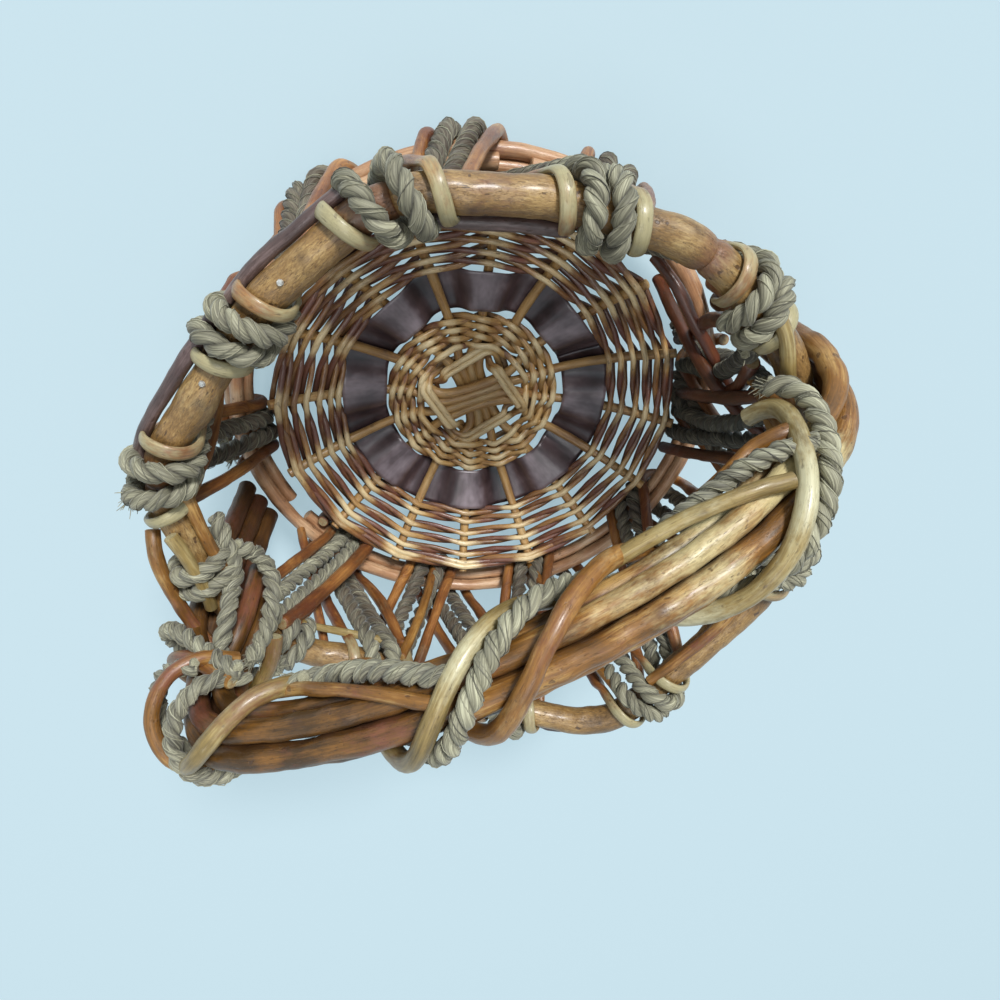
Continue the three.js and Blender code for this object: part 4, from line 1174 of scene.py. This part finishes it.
class Shader:
    """A node tree, built node by node."""

    def __init__(self, owner, surface="Principled BSDF", **constants):
        owner.use_nodes = True
        self.owner = owner
        self.tree = owner.node_tree
        self.surface = self.tree.nodes[surface]
        for socket, value in constants.items():
            self.surface.inputs[socket.replace("_", " ")].default_value = value

    def node(self, kind, inputs, **settings):
        made = self.tree.nodes.new(kind)
        for key, value in settings.items():
            setattr(made, key, value)
        for key, value in inputs.items():
            if isinstance(value, bpy.types.NodeSocket):
                self.tree.links.new(value, made.inputs[key])
            else:
                made.inputs[key].default_value = value
        return made

    def strand(self):
        """Grain, brightness, redness, paleness and darkness of a strand."""
        # dark: painted shade in crevices, grooves and crossings, with the darkness of knots. On the
        # weave and the ribbon, bright and pale also hold painted highlight.
        grain, tone, dark = (
            self.node("ShaderNodeAttribute", {}, attribute_name=name).outputs
            for name in ("grain", "tone", "dark")
        )
        tones = self.node("ShaderNodeSeparateXYZ", {0: tone["Vector"]}).outputs
        return grain["Vector"], *tones, dark["Fac"]

    def noise(self, vector, stretch, scale, detail, rough):
        scaled = self.node("ShaderNodeVectorMath", {0: vector, 1: stretch}, operation="MULTIPLY")
        inputs = {"Vector": scaled.outputs[0], "Scale": scale, "Detail": detail, "Roughness": rough}
        return self.node("ShaderNodeTexNoise", inputs).outputs["Fac"]

    def math(self, operation, a, b=0.0):
        return self.node("ShaderNodeMath", {0: a, 1: b}, operation=operation).outputs[0]

    def total(self, value, *terms):
        """The value and the sum of the terms, each (socket, factor)."""
        for socket, factor in terms:
            inputs = {0: socket, 1: factor, 2: value}
            value = self.node("ShaderNodeMath", inputs, operation="MULTIPLY_ADD").outputs[0]
        return value

    def step(self, value, start, end):
        inputs = {"Value": value, "From Min": start, "From Max": end}
        made = self.node("ShaderNodeMapRange", inputs, interpolation_type="SMOOTHSTEP")
        return made.outputs[0]

    def ramp(self, value, *stops):
        made = self.node("ShaderNodeValToRGB", {0: value})
        elements = made.color_ramp.elements
        while len(elements) < len(stops):
            elements.new(0.5)
        for element, (place, colour) in zip(elements, stops):
            element.position = place
            element.color = colour
        return made.outputs[0]

    def mix(self, share, strength, a, b, kind="MIX"):
        """Colour a with the share of colour b, times the strength."""
        inputs = {0: self.math("MULTIPLY", share, strength), 6: a, 7: b}
        made = self.node(
            "ShaderNodeMix", inputs, data_type="RGBA", blend_type=kind, clamp_factor=True)
        return made.outputs[2]

    def finish(self, colour, rough, height, depth):
        bump = self.node("ShaderNodeBump", {"Height": height, "Strength": 1.0, "Distance": depth})
        for socket, value in (
            ("Base Color", colour), ("Roughness", rough), ("Normal", bump.outputs[0]),
        ):
            self.tree.links.new(value, self.surface.inputs[socket])
        return self.owner

    def blend(self, share, other, output):
        """Shows the surface, and the other shader for its share."""
        inputs = {0: share, 1: self.surface.outputs[0], 2: other}
        mixed = self.node("ShaderNodeMixShader", inputs)
        self.tree.links.new(mixed.outputs[0], self.tree.nodes[output].inputs["Surface"])


def hex_colour(text):
    channels = np.array([int(text[k : k + 2], 16) for k in (0, 2, 4)]) / 255
    linear = np.where(channels <= 0.04045, channels / 12.92, ((channels + 0.055) / 1.055) ** 2.4)
    return (*(float(c) for c in linear), 1)


def make_wood(name, colours, streak, fleck, coat=0.35, run=0.045):
    """Varnished wood or bark: streaks along the rod, blotches, reddish zones and dark flecks.

    colours: deep, middle, light, reddish and pale.
    """
    deep, middle, light, reddish, palest = (hex_colour(text) for text in colours.split())
    s = Shader(bpy.data.materials.new(name), Coat_Weight=coat, Coat_Roughness=0.22, Coat_IOR=1.45)
    grain, bright, red, pale, dark = s.strand()
    fine = s.noise(grain, (1, 1, run), streak, 5, 0.72)
    blotch = s.noise(grain, (0.7, 0.7, 0.35), 0.16, 3, 0.6)
    mottle = s.noise(grain, (1, 1, 0.4), 0.55, 3, 0.6)
    value = s.total(-0.06, (fine, 0.5), (blotch, 0.62), (bright, 0.22))
    colour = s.ramp(value, (0.22, deep), (0.5, middle), (0.74, light))
    patch = s.step(s.total(-0.55, (mottle, 1.1), (red, 1.0)), 0.35, 0.95)
    colour = s.mix(patch, 0.85, colour, reddish)
    lightness = s.step(s.total(-0.4, (mottle, 0.8), (pale, 1.0)), 0.2, 0.9)
    colour = s.mix(lightness, 0.9, colour, palest)
    shade = s.ramp(fine, (0.3, (0.62, 0.6, 0.58, 1)), (0.62, (1, 1, 1, 1)))
    colour = s.mix(1.0, 0.5, colour, shade, "MULTIPLY")
    pit = s.step(s.noise(grain, (1, 1, 0.16), 1.7, 2, 0.5), 0.66, 0.74)
    spot = s.step(s.noise(grain, (1, 1, 0.7), 0.34, 1, 0.5), 0.7, 0.76)
    cracks = s.noise(grain, (1, 1, 0.22), 0.5, 3, 0.6)
    from_crack = s.math("ABSOLUTE", s.math("SUBTRACT", cracks, 0.53))
    crack = s.math("SUBTRACT", 1.0, s.step(from_crack, 0.0, 0.012))
    # The strand's dark layer (painted shade, and knots) joins the pits, spots and cracks.
    flecks_and_painted_shade = s.total(dark, (pit, fleck), (spot, fleck), (crack, fleck * 0.55))
    flecks_and_painted_shade = s.math("MINIMUM", flecks_and_painted_shade, 1.0)
    colour = s.mix(flecks_and_painted_shade, 0.8, colour, (0.05, 0.022, 0.012, 1))
    return s.finish(colour, s.total(0.28, (mottle, 0.25)), s.total(fine, (flecks_and_painted_shade, -0.8)), 0.00022)


def make_rope_fibre():
    s = Shader(bpy.data.materials.new("rope_fibre"), Sheen_Weight=0.15, Sheen_Roughness=0.5)
    grain, bright, red, pale, dark = s.strand()
    fibre = s.noise(grain, (1, 1, 0.035), 2.0, 3, 0.7)
    broad = s.noise(grain, (1, 1, 0.12), 0.45, 3, 0.6)
    value = s.total(-0.36, (fibre, 1.25), (broad, 0.45), (bright, 0.22))
    colour = s.ramp(
        value, (0.24, hex_colour("2E2B25")), (0.42, hex_colour("69675A")),
        (0.58, hex_colour("8F8D79")), (0.78, hex_colour("C4C4A8")))
    colour = s.mix(pale, 0.5, colour, hex_colour("BEBA94"))
    colour = s.mix(red, 0.6, colour, hex_colour("5C4630"))
    # Painted shade: the dark layer darkens the grooves between the plies.
    colour = s.mix(dark, 0.85, colour, hex_colour("27231D"))
    return s.finish(colour, s.total(0.5, (broad, 0.25)), fibre, 0.00028)


def make_ribbon_wood():
    s = Shader(bpy.data.materials.new("ribbon_bark"), Coat_Weight=0.5, Coat_Roughness=0.28)
    grain, bright, _, pale, _ = s.strand()
    streaks = s.noise(grain, (0.55, 0.09, 1), 0.6, 3, 0.55)
    broad = s.noise(grain, (0.5, 0.3, 1), 0.16, 3, 0.55)
    # pale brings in the painted sheen on the bulges.
    value = s.total(0.0, (streaks, 0.16), (broad, 0.8), (bright, 0.2), (pale, 0.3))
    colour = s.ramp(
        value, (0.34, hex_colour("2E2022")), (0.54, hex_colour("564548")),
        (0.8, hex_colour("988A90")))
    return s.finish(colour, s.total(0.28, (broad, 0.2)), streaks, 0.00008)


def make_nail_metal():
    s = Shader(bpy.data.materials.new("nail_steel"), Metallic=0.5)
    where = s.node("ShaderNodeTexCoord", {}).outputs["Object"]
    spots = s.noise(where, (1, 1, 1), 900.0, 3, 0.6)
    colour = s.ramp(spots, (0.3, hex_colour("8A8780")), (0.7, hex_colour("E2E0DA")))
    return s.finish(colour, s.total(0.25, (spots, 0.3)), spots, 0.00005)


WOODS = [  # look, slot, material, colours, streaks, flecks, then the coat and the streaks' run
    ("wicker", "wicker", "wicker", "4C2E1A 94683A CAA468 683A30 EAD6A8", 1.5, 0.5, 0.5),
    ("stake", "stake", "stake_wood", "543A1E 92693C B8925A 74462C C8B080", 1.1, 0.5),
    ("hoop", "hoop", "hoop_wood", "80543A B88A64 DAB892 90604A E8D2B0", 0.8, 0.5, 0.3),
    ("branch", "branch", "branch_wood", "4A341E 927142 C6A66C 7C5236 D2BC88", 1.5, 1.0, 0.35, 0.3),
    ("lattice", "lattice_rod", "lattice_wood", "4C2A16 8E5A2E C28C4C 6A3824 B2AC84", 1.0, 0.5),
    ("core", "handle_core", "core_wood", "48300F 8C602A CCA868 7C4A38 DACC98", 0.9, 0.7, 0.2, 0.05),
    ("pale", "pale_rod", "pale_wood", "645228 9A8450 C4B684 80583A D0CCA8", 0.9, 0.5),
    ("bark", "lattice_rod", "bark_wood", "2C2020 5E4A46 8C7672 4A3232 A89890", 1.1, 0.7),
    ("orange", "orange_rod", "orange_wood", "5C3818 96682E C09450 784628 CEB078", 0.8, 0.6),
]
LOOKS = {look: (slot, make_wood(*wood)) for look, slot, *wood in WOODS}
LOOKS["rope"] = ("rope", make_rope_fibre())
LOOKS["ribbon"] = ("ribbon", make_ribbon_wood())
nail_metal = make_nail_metal()

make_stakes()
make_inner_weave()
make_outer_weave()
make_ribbon()
make_hoop()
make_rim()
make_brace()
make_lacing()
make_lashings()
make_core()
make_spirals()
make_end_strands()

# Stage: a plain pale floor, soft light and the photograph's camera

EYE = np.array([51.60, 181.68, 376.13])
RIGHT = (0.91307828, -0.39447459, 0.10333365)
UPWARD = (0.37967988, 0.72995591, -0.56833754)
BACKWARD = (0.14876571, 0.55817037, 0.81628096)
FOCAL_PX = 751
PICTURE_PX = 1000
SENSOR = 36.0
FLOOR_HALF = 4.0
LAMP_TARGET = np.array([0, 0, 0.08])


def pose(thing, place, axes):
    turn = Matrix(axes).transposed().to_4x4()
    thing.matrix_world = Matrix.Translation(place) @ turn


def add_lamp(kind, direction, distance, **settings):
    data = bpy.data.lights.new(kind.lower(), kind)
    for key, value in settings.items():
        setattr(data, key, value)
    back = unit(np.array(direction, float))
    side = unit(np.cross(UP, back))
    axes = (side, np.cross(back, side), back)
    pose(add_object(data.name, data), LAMP_TARGET + back * distance, axes)


camera_data = bpy.data.cameras.new("camera")
camera_data.sensor_width = SENSOR
camera_data.lens = FOCAL_PX / PICTURE_PX * SENSOR
camera_data.clip_start = 0.01
camera = add_object("camera", camera_data)
pose(camera, (EYE + BASE_MIDDLE) * MM, (RIGHT, UPWARD, BACKWARD))
bpy.context.scene.camera = camera

floor_mesh = bpy.data.meshes.new("floor")
floor_corners = [(-1, -1), (1, -1), (1, 1), (-1, 1)]
floor_points = [(x * FLOOR_HALF, y * FLOOR_HALF, 0) for x, y in floor_corners]
floor_mesh.from_pydata(floor_points, [], [(0, 1, 2, 3)])
floor = add_object("floor", floor_mesh)
ground = Shader(
    bpy.data.materials.new("floor"), Base_Color=(0.62, 0.72, 0.76, 1), Roughness=0.9,
    Specular_IOR_Level=0.1)
glow = ground.node("ShaderNodeEmission", {"Color": (0.56, 0.78, 0.88, 1)}).outputs[0]
rays = ground.node("ShaderNodeLightPath", {}).outputs
ground.blend(ground.math("MULTIPLY", rays["Is Camera Ray"], 0.6), glow, "Material Output")
floor_mesh.materials.append(ground.owner)

add_lamp("SUN", (0.7, 0.85, 0.75), 1.3, energy=3.5, angle=0.22)
add_lamp("AREA", (-0.1, 0.1, 1.0), 1.6, energy=5, shape="SQUARE", size=0.7)

world = bpy.data.worlds.new("world")
bpy.context.scene.world = world
sky = Shader(world, "Background", Color=(0.93, 0.96, 1.0, 1), Strength=0.32)
plain = {"Color": (0.56, 0.72, 0.8, 1), "Strength": 1.0}
backdrop = sky.node("ShaderNodeBackground", plain).outputs[0]
rays = sky.node("ShaderNodeLightPath", {}).outputs
share = sky.math("MAXIMUM", rays["Is Camera Ray"], rays["Is Glossy Ray"])
sky.blend(share, backdrop, "World Output")
bpy.context.scene.view_settings.view_transform = "Standard"
